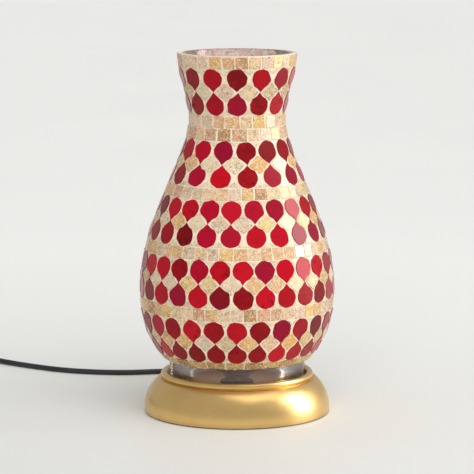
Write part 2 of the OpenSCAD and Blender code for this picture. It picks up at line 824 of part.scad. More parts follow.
module plug_body() {
    grip = 14;
    color("black") difference() {
        translate(plug_at) union() {
            translate([0, 0, -plug_t / 2]) linear_extrude(plug_t) polygon([
                [-plug_w / 2, -plug_l], [plug_w / 2, -plug_l], [plug_w / 2, -plug_l + 12],
                [6, -grip + 8], [6, -2], [-6, -2], [-6, -grip + 8], [-plug_w / 2, -plug_l + 12]
            ]);
            translate([0, -3, 0]) rotate([-90, 0, 0]) cylinder(r1 = 5.2, r2 = cord_r + 0.8, h = 9);
        }
        translate(plug_at) for (x = [-1, 1]) translate([x * pin_gap / 2, -plug_l + 10, 0])
            rotate([90, 0, 0]) cylinder(r = pin_root_r + 0.05, h = 20);
    }
}

module plug_pins() {
    color("silver") translate(plug_at) for (x = [-1, 1])
        translate([x * pin_gap / 2, -plug_l + 10, 0]) rotate([90, 0, 0]) {
            cylinder(r = pin_root_r, h = 10 + eps);
            translate([0, 0, 10]) cylinder(r = pin_d / 2, h = pin_l - 1);
            translate([0, 0, 10 + pin_l - 1]) cylinder(r1 = pin_d / 2, r2 = pin_d / 2 - 1, h = 1);
        }
}

base_shell();
plate_posts();
bottom_plate();
plate_screws();
rubber_feet();
seat_gasket();
threaded_nipple();
floor_washer();
lock_washer();
nipple_nut();
strain_relief();
inner_cord();
cord_grip();
grip_screws();
live_and_neutral_cores();
holder_cap();
holder_shell();
holder_core();
thread_contact();
centre_contact();
terminal_screws();
bulb_cap();
bulb_contact();
bulb_insulator();
bulb_envelope();
bulb_stem();
bulb_filaments();
glass_vase();
mortar_bed();
rim_squares();
neck_squares();
shoulder_squares();
waist_squares();
belly_squares();
hem_tiles();
drops_band_1();
drops_band_2();
drops_band_3();
drops_band_4();
drops_band_5();
diamonds_band_1();
diamonds_band_2();
diamonds_band_3();
diamonds_band_4();
diamonds_band_5();
corner_tiles();
cord_run();
cord_link();
cord_coil();
cord_tail();
coil_tie();
switch_base();
switch_cover();
switch_rocker();
switch_contacts();
switch_screws();
plug_body();
plug_pins();
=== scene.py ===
import itertools
import math

import bmesh
import bpy
import numpy as np
from mathutils import Matrix, Vector, kdtree, noise


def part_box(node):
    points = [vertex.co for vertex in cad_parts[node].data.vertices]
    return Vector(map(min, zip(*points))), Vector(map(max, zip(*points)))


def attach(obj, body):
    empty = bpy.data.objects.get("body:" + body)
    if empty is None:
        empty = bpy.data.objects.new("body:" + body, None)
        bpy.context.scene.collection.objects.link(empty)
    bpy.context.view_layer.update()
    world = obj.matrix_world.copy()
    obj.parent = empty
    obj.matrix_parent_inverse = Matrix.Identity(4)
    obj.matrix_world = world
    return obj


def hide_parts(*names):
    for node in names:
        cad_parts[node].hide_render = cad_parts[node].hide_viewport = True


bl_info = {
    "name": "Mosaic glass table lamp",
    "version": (1, 0, 0),
    "blender": (4, 5, 0),
    "location": "3D View > Sidebar > Mosaic lamp",
    "description": "Dresses the mosaic lamp's frame with tiles, grout, gold and its lead",
    "category": "Object",
}

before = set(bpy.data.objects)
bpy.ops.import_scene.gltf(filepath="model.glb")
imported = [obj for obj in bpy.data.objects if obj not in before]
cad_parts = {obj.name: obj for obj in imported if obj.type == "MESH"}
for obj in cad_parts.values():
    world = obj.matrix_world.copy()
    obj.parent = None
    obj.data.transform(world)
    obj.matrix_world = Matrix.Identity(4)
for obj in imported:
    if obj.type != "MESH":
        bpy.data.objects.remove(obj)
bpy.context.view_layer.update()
MM = 0.001

# ---- The vase's face curve and its rows, in millimetres, as on the frame ----
# Each knot is a height, a radius and the curve's slope there
KNOTS = (
    (291.5, 47.9, 0.0),
    (240.0, 38.5, 0.0),
    (190.0, 54.0, -0.44),
    (102.0, 78.4, 0.0),
    (44.4, 58.6, 0.9),
)
RIM_Z, HEM_Z = KNOTS[0][0], KNOTS[-1][0]
TILE_T = 2.0
TILE_BACK = 2.1
BED_BACK = 3.2
SKIN_T = 3.3
GLASS_T = 2.6
COLLAR_R = 55.0
COLLAR_Z = 25.0
JOINT = 1.2
CUT_H, DROP_L, SQUARE_W, DROP_W = 6.8, 17.8, 8.8, 16.2
ROW_KINDS = "sddssddsddsddsddc"
BAND_ROWS = (1, 5, 8, 11, 14)
DROP_COUNTS = (14, 15, 22, 27, 26)
BAND_TURNS = (12.9, -8.5, 4.3, 6.8, 6.9)
# The squares stand closer than the frame's joint, and the drops reach past their rows
SQUARE_JOINT = 0.7
DROP_REACH = 0.6
POINT_ANGLE = math.radians(44)
CURVE_STEPS = 64


def face_r(z):
    """Radius of the tile faces at height z."""
    for top, low in zip(KNOTS, KNOTS[1:]):
        if z >= low[0] or low is KNOTS[-1]:
            break
    h = low[0] - top[0]
    t = (z - top[0]) / h
    u = 1 - t
    return (
        (1 + 2 * t) * u * u * top[1]
        + t * u * u * h * top[2]
        + t * t * (3 - 2 * t) * low[1]
        - t * t * u * h * low[2]
    )


def slope(z):
    a, b = min(z + 0.2, RIM_Z), max(z - 0.2, HEM_Z)
    return (face_r(a) - face_r(b)) / (a - b)


def behind(z, depth):
    """The point at a depth behind the faces at height z, as (radius, height)."""
    s = slope(z)
    q = math.hypot(1, s)
    return face_r(z) - depth / q, z + depth * s / q


CURVE_Z = [RIM_Z - (RIM_Z - HEM_Z) * i / CURVE_STEPS for i in range(CURVE_STEPS + 1)]
CURVE_RUN = [0.0]
for high, low in zip(CURVE_Z, CURVE_Z[1:]):
    CURVE_RUN.append(CURVE_RUN[-1] + math.hypot(low - high, face_r(low) - face_r(high)))
CURVE_L = CURVE_RUN[-1]


def z_at(run):
    return float(np.interp(run, CURVE_RUN, CURVE_Z))


def row_h(i):
    return {"c": CUT_H, "s": SQUARE_W, "d": DROP_L}[ROW_KINDS[i]]


def rows_above(i):
    return sum(row_h(k) + JOINT for k in range(i))


STRETCH = CURVE_L / (rows_above(len(ROW_KINDS)) + JOINT)


def row_top(i):
    return STRETCH * (rows_above(i) + JOINT)


def row_len(i):
    return STRETCH * row_h(i)


def row_mid(i):
    return row_top(i) + row_len(i) / 2


def round_count(run):
    return int(2 * math.pi * (face_r(z_at(run)) - TILE_BACK) / (SQUARE_W + JOINT))


def stand_off(run, h):
    """How far the back of a flat tile stands off where the curve is hollow."""
    s = slope(z_at(run))
    q = math.hypot(1, s)
    p = behind(z_at(run), TILE_BACK)
    ends = [behind(z_at(min(max(run + k * h, 0), CURVE_L)), TILE_BACK) for k in (-0.5, 0.5)]
    return max(((e[0] - p[0]) - (e[1] - p[1]) * s) / q for e in ends)


# ---- Shader and geometry trees ----
class Wire:
    """An output socket that can stand in an expression, which adds its Math nodes."""

    def __init__(self, nodes, socket):
        self.nodes, self.socket = nodes, socket

    def math(self, operation, *others):
        inputs = dict(enumerate((self, *others)))
        return self.nodes.add("ShaderNodeMath", {"operation": operation}, inputs)

    def __add__(self, other):
        return self.math("ADD", other)

    def __sub__(self, other):
        return self.math("SUBTRACT", other)

    def __mul__(self, other):
        return self.math("MULTIPLY", other)

    def __truediv__(self, other):
        return self.math("DIVIDE", other)

    def __gt__(self, other):
        return self.math("GREATER_THAN", other)

    __radd__ = __add__

    def out(self, name):
        return self.nodes.wire(self.socket.node, name)


class Nodes:
    """A node tree that is written as expressions."""

    def __init__(self, tree):
        self.tree = tree

    def wire(self, node, name=None):
        for socket in node.outputs:
            if socket.enabled and name in (None, socket.name):
                return Wire(self, socket)
        raise RuntimeError(f"{node.bl_idname} has no output {name}")

    def add(self, kind, settings=None, inputs=None):
        """Adds a node. A colour is given as three numbers and gets its alpha here."""
        node = self.tree.nodes.new(kind)
        for name, value in (settings or {}).items():
            setattr(node, name, value)
        for key, value in (inputs or {}).items():
            socket = self.inlet(node, key)
            if isinstance(value, Wire):
                self.tree.links.new(value.socket, socket)
            else:
                socket.default_value = (*value, 1.0) if socket.type == "RGBA" else value
        return self.wire(node) if node.outputs else None

    @staticmethod
    def inlet(node, key):
        if isinstance(key, int):
            return node.inputs[key]
        for socket in node.inputs:
            if socket.enabled and socket.name == key:
                return socket
        raise RuntimeError(f"{node.bl_idname} has no input {key}")

    def vector(self, operation, *terms, **named):
        inputs = {**dict(enumerate(terms)), **named}
        return self.add("ShaderNodeVectorMath", {"operation": operation}, inputs)

    def point(self, *axes):
        return self.add("ShaderNodeCombineXYZ", None, dict(enumerate(axes)))

    def axis(self, name, of=None):
        return self.add("ShaderNodeSeparateXYZ", None, {0: of or self.place}).out(name)

    def fact(self, name):
        """A number that the mesh carries at each point."""
        return self.add("ShaderNodeAttribute", {"attribute_name": name}).out("Fac")

    def mix(self, share, a, b):
        return self.add(
            "ShaderNodeMix", {"data_type": "RGBA"}, {"Factor": share, "A": a, "B": b}
        )

    def spread(self, value, low, high, to_low=0.0, to_high=1.0):
        return self.add("ShaderNodeMapRange", {"clamp": True}, {
            "Value": value, "From Min": low, "From Max": high,
            "To Min": to_low, "To Max": to_high,
        })

    def fade(self, colour, other, by, low, high, most=1.0):
        """The colour, with more of the other one as a value goes from low to high."""
        return self.mix(self.spread(by, low, high, 0.0, most), colour, other)

    def grain(self, at, scale, detail=3.0, roughness=0.55, distortion=0.0):
        inputs = {
            "Vector": at, "Scale": scale, "Detail": detail,
            "Roughness": roughness, "Distortion": distortion,
        }
        return self.add("ShaderNodeTexNoise", None, inputs)

    def ramp(self, share, stops):
        made = self.add("ShaderNodeValToRGB", None, {0: share}).out("Color")
        elements = made.socket.node.color_ramp.elements
        while len(elements) < len(stops):
            elements.new(0.5)
        for element, (place, colour) in zip(elements, stops):
            element.position, element.color = place, (*colour, 1.0)
        return made

    def bump(self, height, distance, strength):
        inputs = {"Height": height, "Distance": distance, "Strength": strength}
        return self.add("ShaderNodeBump", None, inputs)


def finish(name, fill):
    """A material whose tree fill writes. It returns the wires and the constants of the shader."""
    material = bpy.data.materials.new(name)
    material.use_nodes = True
    material.node_tree.nodes.clear()
    nodes = Nodes(material.node_tree)
    nodes.place = nodes.add("ShaderNodeTexCoord").out("Object")
    wires = fill(nodes)
    gloss, tint = wires.pop("Gloss", None), wires.pop("Tint", None)
    shader = nodes.add("ShaderNodeBsdfPrincipled", None, wires)
    if gloss is not None:
        plain = nodes.add("ShaderNodeBsdfTransparent", None, {"Color": tint})
        shader = nodes.add("ShaderNodeMixShader", None, {0: gloss, 1: plain, 2: shader})
    nodes.add("ShaderNodeOutputMaterial", None, {"Surface": shader})
    return material


def grey(value):
    return value, value, value


def scaled(colour, share):
    return tuple(part * share for part in colour)


# ---- Finishes ----
GLASS_IOR = 1.52


def tile_wires(n):
    """Coordinates that jump from tile to tile, and each tile's own two random numbers."""
    tone, shade = n.fact("tone"), n.fact("shade")
    jump = n.point(tone * 3.1, shade * 2.3, tone * 1.7)
    return n.vector("ADD", n.place, jump), tone, shade


def crimson_finish(n):
    look = bpy.context.scene.lamp_colours
    deep, bright = look.crimson_deep, look.crimson_bright
    at, tone, shade = tile_wires(n)
    marble = n.grain(at, 240.0, 4.0, 0.62, 0.9)
    cloud = n.grain(at, 110.0, 2.0)
    speck = n.grain(at, 1500.0, 2.0, 0.6)
    colour = n.fade(deep, bright, tone * 0.9 + cloud * 0.35, 0.15, 1.0)
    colour = n.fade(colour, look.crimson_wine, shade, 0.55, 0.95, 0.55)
    blot = n.spread(marble, 0.54, 0.66, 0.0, 0.9) * n.spread(shade, 0.30, 0.10, 0.12, 0.9)
    colour = n.mix(blot, colour, scaled(deep, 0.12))
    colour = n.fade(colour, scaled(bright, 1.25), marble, 0.42, 0.32, 0.3)
    colour = n.fade(colour, scaled(deep, 0.25), n.fact("edge"), 0.2, 0.9, 0.7)
    return {
        "Base Color": colour,
        "Roughness": n.spread(speck + shade * 0.25, 0.3, 0.9, 0.14, 0.24),
        "Normal": n.bump(cloud + marble * 0.25, 0.0006, 0.12),
        "IOR": GLASS_IOR, "Specular IOR Level": 0.16,
    }


OLIVE_FLECK, PEACH_FLECK = (0.36, 0.34, 0.20), (0.88, 0.68, 0.44)
WHITE_FLECK = (0.92, 0.84, 0.70)
CHAMPAGNE_STOPS = (
    (0.0, (0.40, 0.21, 0.07)), (0.16, (0.60, 0.32, 0.20)), (0.34, (0.74, 0.48, 0.14)),
    (0.50, (0.66, 0.36, 0.18)), (0.66, (0.76, 0.55, 0.32)), (0.82, (0.60, 0.47, 0.35)),
    (1.0, (0.80, 0.58, 0.42)),
)
PEARL_STOPS = (
    (0.0, (0.40, 0.25, 0.09)), (0.2, (0.78, 0.60, 0.26)), (0.4, (0.72, 0.37, 0.09)),
    (0.58, (0.64, 0.50, 0.40)), (0.78, (0.78, 0.64, 0.40)), (1.0, (0.32, 0.18, 0.07)),
)
CORNER_STOPS = (
    (0.0, (0.70, 0.56, 0.36)), (0.5, (0.78, 0.68, 0.48)), (1.0, (0.66, 0.56, 0.40)),
)
HEM_STOPS = (
    (0.0, (0.26, 0.14, 0.05)), (0.35, (0.52, 0.32, 0.12)), (0.65, (0.66, 0.46, 0.18)),
    (1.0, (0.40, 0.24, 0.10)),
)
# The pale inside of the grout, seen through the top of the vase. The inside also glows in these
# colours: painted light standing in for light that comes through the tiles
INSIDE_STOPS = (
    (0.30, (0.34, 0.22, 0.20)), (0.44, (0.60, 0.46, 0.42)), (0.56, (0.74, 0.65, 0.60)),
    (0.68, (0.92, 0.88, 0.82)),
)


def foil_finish(stops, dark, warm):
    """Crackled foil behind glass: one leading colour for each tile, with flecks of others."""
    def fill(n):
        at, tone, shade = tile_wires(n)
        marble = n.grain(at, 250.0, 4.0, 0.68, 1.2)
        veins = n.grain(at, 430.0, 3.0, 0.68, 0.8)
        speck = n.grain(at, 950.0, 2.0, 0.6)
        amount = n.spread(shade, 0.0, 1.0, 0.4, 1.0)
        colour = n.ramp(tone, stops)
        for by, low, high, most, fleck in (
            (marble, 0.52, 0.60, 0.8, dark), (marble, 0.46, 0.39, 0.8, warm),
            (veins, 0.45, 0.39, 0.6, OLIVE_FLECK),
        ):
            colour = n.mix(n.spread(by, low, high, 0.0, most) * amount, colour, fleck)
        colour = n.fade(colour, PEACH_FLECK, veins, 0.56, 0.63, 0.6)
        colour = n.fade(colour, WHITE_FLECK, speck, 0.57, 0.66, 0.7)
        return {
            "Base Color": colour,
            "Metallic": n.spread(marble, 0.35, 0.65, 0.04, 0.22),
            "Roughness": n.spread(speck + shade * 0.3, 0.3, 0.95, 0.18, 0.34),
            "Normal": n.bump(marble, 0.0006, 0.22),
            "IOR": GLASS_IOR, "Specular IOR Level": 0.3,
        }

    return fill


def grout_finish(n):
    grout = bpy.context.scene.lamp_colours.grout
    inside = n.fact("inside")
    sand = n.grain(n.place, 2400.0, 3.0, 0.7)
    patch = n.grain(n.place, 120.0)
    colour = n.fade(grout, scaled(grout, 0.86), patch, 0.35, 0.68)
    colour = n.fade(colour, (0.46, 0.32, 0.22), sand, 0.62, 0.80, 0.4)
    pearl = n.ramp(n.grain(n.place, 230.0, 4.0, 0.7, 0.8), INSIDE_STOPS)
    return {
        "Base Color": n.mix(inside, colour, pearl),
        # Painted glow: the inside face shines, standing in for light that comes through the tiles
        "Emission Color": n.mix(inside, grey(0.0), pearl), "Emission Strength": 0.32,
        "Roughness": n.spread(sand, 0.3, 0.7, 0.72, 0.95),
        "Normal": n.bump(sand + patch * 0.6, 0.0004, 0.6),
    }


def gold_finish(n):
    gold = bpy.context.scene.lamp_colours.gold
    grind = n.grain(n.place, 900.0, 3.0, 0.6)
    cloud = n.grain(n.place, 35.0)
    handled = n.grain(n.place, 16.0, 4.0, 0.65)
    colour = n.fade(gold, scaled(gold, 0.9), cloud, 0.35, 0.68)
    colour = n.fade(colour, scaled(gold, 0.8), grind, 0.58, 0.74, 0.1)
    # Painted shade: the gold darkens towards its bottom edge, where the base meets the table
    low = n.spread(n.axis("Z"), 0.0008, 0.0045, 0.35, 0.0)
    return {
        "Base Color": n.mix(low, colour, (0.30, 0.20, 0.09)), "Metallic": 0.92,
        "Roughness": n.spread(handled + grind * 0.2, 0.4, 0.85, 0.27, 0.34),
        "Normal": n.bump(grind, 0.00003, 0.1),
    }


def plain_metal(colour, rough, scale=1400.0, metallic=1.0):
    def fill(n):
        scratch = n.grain(n.place, scale, 4.0, 0.65)
        cloud = n.grain(n.place, scale / 30, 2.0)
        return {
            "Base Color": n.fade(colour, scaled(colour, 0.78), cloud, 0.35, 0.7),
            "Metallic": metallic,
            "Roughness": n.spread(scratch, 0.3, 0.7, rough * 0.75, rough * 1.3),
            "Normal": n.bump(scratch, 0.00008, 0.4),
        }

    return fill


def moulded(colour, rough, texture=0.00008, scale=1800.0, coat=0.0):
    def fill(n):
        pebble = n.grain(n.place, scale, 3.0, 0.6)
        wear = n.grain(n.place, 60.0, 4.0, 0.65)
        return {
            "Base Color": n.fade(colour, scaled(colour, 1.5), wear, 0.4, 0.75, 0.5),
            "Roughness": n.spread(pebble + wear * 0.5, 0.5, 1.0, rough * 0.8, rough * 1.2),
            "Normal": n.bump(pebble, texture, 0.5),
            "Coat Weight": coat, "Coat Roughness": 0.1,
        }

    return fill


def clear_glass(tint, ripple, haze=0.0):
    """A thin wall: light goes straight through, and more of it is thrown back at a slant."""
    def fill(n):
        wave = n.grain(n.place, 42.0, 2.0)
        smear = n.grain(n.place, 260.0)
        slant = n.add("ShaderNodeFresnel", None, {"IOR": 1.42})
        gloss = n.spread(slant * 0.75 + smear * haze, 0.0, 1.0, haze * 0.4, 1.0)
        return {
            "Base Color": n.fade((0.74, 0.55, 0.50), grey(0.96), slant, 0.04, 0.4),
            "Metallic": n.spread(slant, 0.04, 0.3, 1.0 - haze * 8, 1.0),
            "Roughness": n.spread(smear, 0.4, 0.75, 0.02, 0.09),
            "Normal": n.bump(wave, ripple, 0.25),
            "Gloss": gloss, "Tint": tint,
        }

    return fill


def sheath_finish(n):
    pebble = n.grain(n.place, 2200.0, 3.0, 0.6)
    wander = n.grain(n.place, 45.0)
    along = n.axis("X", n.add("ShaderNodeTexCoord").out("UV"))
    wave = (along * 900.0).math("SINE")
    return {
        "Base Color": n.fade(
            (0.012, 0.012, 0.014), (0.026, 0.027, 0.031), wander, 0.4, 0.7, 0.7
        ),
        "Roughness": n.spread(pebble + wander * 0.4, 0.5, 1.0, 0.32, 0.52),
        "Normal": n.bump(pebble + wave * 0.06, 0.00008, 0.5),
    }


def weave_finish(n):
    ribs = (n.axis("Z") * 5200.0).math("SINE")
    fuzz = n.grain(n.place, 2600.0, 4.0, 0.75)
    return {
        "Base Color": n.fade((0.018, 0.018, 0.02), (0.06, 0.06, 0.064), fuzz, 0.35, 0.7),
        "Roughness": n.spread(fuzz, 0.3, 0.7, 0.8, 0.95),
        "Normal": n.bump(fuzz + ribs * 0.3, 0.0003, 0.7),
    }


def phosphor_finish(n):
    dots = n.grain(n.place, 1600.0)
    return {
        "Base Color": n.fade((0.86, 0.58, 0.16), (0.92, 0.72, 0.30), dots, 0.4, 0.65),
        "Roughness": n.spread(dots, 0.3, 0.7, 0.4, 0.6),
        "Normal": n.bump(dots, 0.0001, 0.5),
    }


def core_finish(n):
    scuff = n.grain(n.place, 900.0)
    colour = n.mix(n.axis("X") > 0.0, (0.16, 0.07, 0.03), (0.02, 0.08, 0.35))
    return {
        "Base Color": n.fade(colour, grey(0.3), scuff, 0.45, 0.7, 0.3),
        "Roughness": n.spread(scuff, 0.3, 0.7, 0.35, 0.5),
        "Normal": n.bump(scuff, 0.00005, 0.4),
    }


FILLS = {
    "crimson_glass": crimson_finish,
    "champagne_glass": foil_finish(CHAMPAGNE_STOPS, (0.24, 0.14, 0.05), (0.74, 0.29, 0.13)),
    "hem_glass": foil_finish(HEM_STOPS, (0.10, 0.05, 0.02), (0.60, 0.30, 0.08)),
    "pearl_glass": foil_finish(PEARL_STOPS, (0.28, 0.18, 0.07), (0.74, 0.36, 0.15)),
    "corner_glass": foil_finish(CORNER_STOPS, (0.40, 0.32, 0.20), (0.76, 0.50, 0.32)),
    "grout": grout_finish,
    "satin_gold": gold_finish,
    "steel": plain_metal((0.62, 0.62, 0.63), 0.32),
    "brass": plain_metal((0.78, 0.56, 0.24), 0.28),
    "bulb_cap_metal": plain_metal((0.78, 0.78, 0.79), 0.26),
    "pin_metal": plain_metal((0.80, 0.79, 0.77), 0.18),
    "dark_plate": plain_metal((0.05, 0.05, 0.054), 0.5, 1100.0, 0.3),
    "rubber": moulded(grey(0.022), 0.75, 0.00015),
    "silicone": moulded((0.62, 0.62, 0.60), 0.45, 0.00006),
    "slate_plastic": moulded((0.030, 0.036, 0.044), 0.38, 0.0001, 1800.0, 0.1),
    "porcelain": moulded((0.70, 0.68, 0.62), 0.4, 0.00008, 900.0, 0.3),
    "switch_plastic": moulded((0.016, 0.016, 0.018), 0.34, 0.00012, 2400.0),
    "rocker_plastic": moulded((0.030, 0.030, 0.032), 0.24, 0.00004, 2400.0, 0.2),
    "cord_pvc": sheath_finish,
    "core_pvc": core_finish,
    "tie": weave_finish,
    "filament": phosphor_finish,
    "clear_glass": clear_glass((0.95, 0.93, 0.92), 0.0006, 0.08),
    "bulb_glass": clear_glass((0.985, 0.975, 0.95), 0.0001),
}
made_finishes = {}


def coat_of(slot):
    if slot not in made_finishes:
        made_finishes[slot] = finish(slot, FILLS[slot])
    return made_finishes[slot]


# ---- Mesh helpers ----
def linked(name, data):
    made = bpy.data.objects.new(name, data)
    bpy.context.scene.collection.objects.link(made)
    return made


def piece(name, mesh, slot, body, nodes, look=None):
    """Links a finished mesh as a piece of the lamp that stands for CAD nodes."""
    made = linked(name, mesh)
    mesh.materials.clear()
    mesh.materials.append(coat_of(look or slot))
    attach(made, body)
    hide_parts(*nodes)
    return made


def smooth(mesh, angle=32):
    mesh.polygons.foreach_set("use_smooth", [True] * len(mesh.polygons))
    mesh.set_sharp_from_angle(angle=math.radians(angle))
    mesh.update()


def mesh_of(made, name):
    """The mesh of a finished bmesh, which is freed."""
    mesh = bpy.data.meshes.new(name)
    made.to_mesh(mesh)
    made.free()
    return mesh


def strip(a, b, sides):
    """The faces between two rings of points, which start at numbers a and b."""
    ends = [(i, (i + 1) % sides) for i in range(sides)]
    return [(a + i, b + i, b + j, a + j) for i, j in ends]


def turned(name, section, sides, closed=True, shape=None):
    """A mesh turned round Z from a section in millimetres. Points on the axis close a pole."""
    made = bmesh.new()
    rings = []
    for r, z in section:
        if r < 1e-6:
            rings.append([made.verts.new((0, 0, z * MM))])
            continue
        ring = []
        for i in range(sides):
            a = 2 * math.pi * i / sides
            rr = shape(r, z, a) if shape else r
            ring.append(made.verts.new((rr * math.cos(a) * MM, rr * math.sin(a) * MM, z * MM)))
        rings.append(ring)
    pairs = list(zip(rings, rings[1:]))
    if closed:
        pairs.append((rings[-1], rings[0]))
    for a, b in pairs:
        if len(a) == 1 and len(b) == 1:
            continue
        for i in range(sides):
            j = (i + 1) % sides
            corners = [a[i % len(a)], a[j % len(a)], b[j % len(b)], b[i % len(b)]]
            corners = [v for c, v in enumerate(corners) if v not in corners[:c]]
            made.faces.new(corners)
    bmesh.ops.recalc_face_normals(made, faces=made.faces)
    return mesh_of(made, name)


def arc(mid, r, start, end, steps):
    """Points on an arc, its angles in degrees."""
    turns = [math.radians(start + (end - start) * i / steps) for i in range(steps + 1)]
    return [(mid[0] + r * math.cos(a), mid[1] + r * math.sin(a)) for a in turns]


def softened(node, slot, body, width, segments=3):
    """A copy of a CAD node with its doubles merged and its edges rounded."""
    made = bmesh.new()
    made.from_mesh(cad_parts[node].data)
    bmesh.ops.remove_doubles(made, verts=made.verts, dist=2e-6)
    bmesh.ops.dissolve_limit(
        made, angle_limit=math.radians(1.5), verts=made.verts, edges=made.edges,
        delimit={"NORMAL"},
    )
    mesh = mesh_of(made, node + "_finished")
    smooth(mesh, 30)
    made = piece(node + "_finished", mesh, slot, body, [node])
    bevel = made.modifiers.new("rounded edges", "BEVEL")
    bevel.width, bevel.segments = width, segments
    bevel.limit_method, bevel.angle_limit = "ANGLE", math.radians(35)
    bevel.harden_normals = True
    return made


# ---- Mosaic ----
EDGE_EASE = 0.28


def tile_block(name, outline):
    """A flat cut tile from an outline in millimetres, its back at z = 0, its edge eased."""
    points = [Vector(p) for p in outline]
    count = len(points)
    inward = []
    for i, p in enumerate(points):
        before, after = points[i - 1], points[(i + 1) % count]
        a, b = (p - before).normalized(), (after - p).normalized()
        side = Vector((-(a + b).y, (a + b).x)).normalized()
        inward.append(side / max(math.cos(a.angle(b) / 2), 0.5))
    made = bmesh.new()
    edge = made.verts.layers.float.new("edge")
    rings = []
    steps = (
        (0.0, 0.0), (0.0, TILE_T - EDGE_EASE), (0.3 * EDGE_EASE, TILE_T - 0.3 * EDGE_EASE),
        (EDGE_EASE, TILE_T),
    )
    for k, (inset, z) in enumerate(steps):
        ring = []
        for p, side in zip(points, inward):
            q = p + side * inset
            v = made.verts.new((q.x * MM, q.y * MM, z * MM))
            v[edge] = 1.0 if k == 2 else 0.0
            ring.append(v)
        rings.append(ring)
    for low, high in zip(rings, rings[1:]):
        for i in range(count):
            j = (i + 1) % count
            made.faces.new((low[i], low[j], high[j], high[i]))
    made.faces.new(rings[-1])
    made.faces.new(rings[0][::-1])
    mesh = mesh_of(made, name)
    smooth(mesh, 20)
    return linked(name, mesh)


def split(outline, most):
    """The outline with its long sides split, so that the cut can wander."""
    points = []
    for i, p in enumerate(outline):
        q = outline[(i + 1) % len(outline)]
        parts = max(1, round(math.dist(p, q) / most))
        for k in range(parts):
            points.append(tuple(a + (b - a) * k / parts for a, b in zip(p, q)))
    return points


def ring_tree():
    """Sets a ring of tiles round the vase and joins it to what comes in."""
    tree = bpy.data.node_groups.new("Tile ring", "GeometryNodeTree")
    face = tree.interface
    face.new_socket(name="Geometry", in_out="INPUT", socket_type="NodeSocketGeometry")
    for name, kind in (
        ("Tile", "Object"), ("Count", "Int"), ("Radius", "Float"), ("Height", "Float"),
        ("Lean", "Float"), ("Shift", "Float"), ("Width spread", "Float"), ("Tilt", "Float"),
        ("Cut", "Float"), ("Seed", "Int"), ("Glass", "Material"),
    ):
        face.new_socket(name=name, in_out="INPUT", socket_type="NodeSocket" + kind)
    face.new_socket(name="Geometry", in_out="OUTPUT", socket_type="NodeSocketGeometry")
    n = Nodes(tree)
    given = n.add("NodeGroupInput")
    count, seed = given.out("Count"), given.out("Seed")

    def chance(low, high, step):
        return n.add(
            "FunctionNodeRandomValue", {"data_type": "FLOAT"},
            {"Min": low, "Max": high, "Seed": seed + step},
        )

    share = 1.0 + chance(-1.0, 1.0, 0) * given.out("Width spread")
    total = n.add("GeometryNodeAccumulateField", {"data_type": "FLOAT"}, {"Value": share})
    place = (total.out("Trailing") + share * 0.5 - 0.5 + given.out("Shift")) / total.out("Total")
    turn = place * (2 * math.pi)
    cos, sin = turn.math("COSINE"), turn.math("SINE")
    lean, radius = given.out("Lean"), given.out("Radius")
    out_r = lean.math("COSINE")
    spot = n.point(cos * radius, sin * radius, given.out("Height"))
    outward = n.point(cos * out_r, sin * out_r, lean.math("SINE") * -1.0)
    tangent = n.point(sin * -1.0, cos, 0.0)
    facing = n.add(
        "FunctionNodeAxesToRotation", {"primary_axis": "Z", "secondary_axis": "X"},
        {"Primary Axis": outward, "Secondary Axis": tangent},
    )
    tilt = given.out("Tilt")
    wobble = n.point(
        chance(-1.0, 1.0, 1) * tilt, chance(-1.0, 1.0, 2) * tilt,
        chance(-1.0, 1.0, 3) * tilt * 2.0,
    )
    facing = n.add(
        "FunctionNodeRotateRotation", {"rotation_space": "LOCAL"},
        {"Rotation": facing, "Rotate By": n.add("FunctionNodeEulerToRotation", None, {0: wobble})},
    )
    line = n.add("GeometryNodeMeshLine", None, {"Count": count, "Offset": (0.0, 0.0, 0.0)})
    line = n.add("GeometryNodeSetPosition", None, {"Geometry": line, "Position": spot})
    block = n.add("GeometryNodeObjectInfo", None, {"Object": given.out("Tile")}).out("Geometry")
    size = n.point(share * count / total.out("Total"), 1.0, 1.0)
    laid = n.add("GeometryNodeInstanceOnPoints", None, {
        "Points": line, "Instance": block, "Rotation": facing, "Scale": size,
    })

    def keep(geometry, name, kind, value):
        return n.add(
            "GeometryNodeStoreNamedAttribute", {"data_type": kind, "domain": "INSTANCE"},
            {"Geometry": geometry, "Name": name, "Value": value},
        )

    laid = keep(laid, "tone", "FLOAT", chance(0.0, 1.0, 4))
    laid = keep(laid, "shade", "FLOAT", chance(0.0, 1.0, 5))
    index = n.add("GeometryNodeInputIndex")
    laid = keep(laid, "tile", "FLOAT", index + seed * 100.0)
    pose = n.add("GeometryNodeInputInstanceRotation")
    up = n.add("FunctionNodeRotateVector", None, {"Vector": (0.0, 0.0, 1.0), "Rotation": pose})
    laid = keep(laid, "outward", "FLOAT_VECTOR", up)
    real = n.add("GeometryNodeRealizeInstances", None, {"Geometry": laid})

    def kept(name, kind):
        return n.add("GeometryNodeInputNamedAttribute", {"data_type": kind}, {"Name": name})

    tone, normal = kept("tone", "FLOAT"), kept("outward", "FLOAT_VECTOR")
    here = n.add("GeometryNodeInputPosition")
    jump = n.point(tone * 5.0, tone * 3.0, 0.0)
    wander = n.grain(n.vector("ADD", here, jump), 170.0, 1.0).out("Color")
    wander = n.vector("SUBTRACT", wander, (0.5, 0.5, 0.5))
    wander = n.vector("SCALE", wander, Scale=given.out("Cut") * 2.0)
    off = n.vector("SCALE", normal, Scale=n.vector("DOT_PRODUCT", wander, normal).out("Value"))
    real = n.add("GeometryNodeSetPosition", None, {
        "Geometry": real, "Offset": n.vector("SUBTRACT", wander, off),
    })
    both = n.add("GeometryNodeJoinGeometry", None, {"Geometry": given.out("Geometry")})
    tree.links.new(real.socket, both.socket.node.inputs[0])
    both = n.add("GeometryNodeRealizeInstances", None, {"Geometry": both})
    both = n.add(
        "GeometryNodeSetMaterial", None, {"Geometry": both, "Material": given.out("Glass")}
    )
    n.add("NodeGroupOutput", None, {"Geometry": both})
    return tree


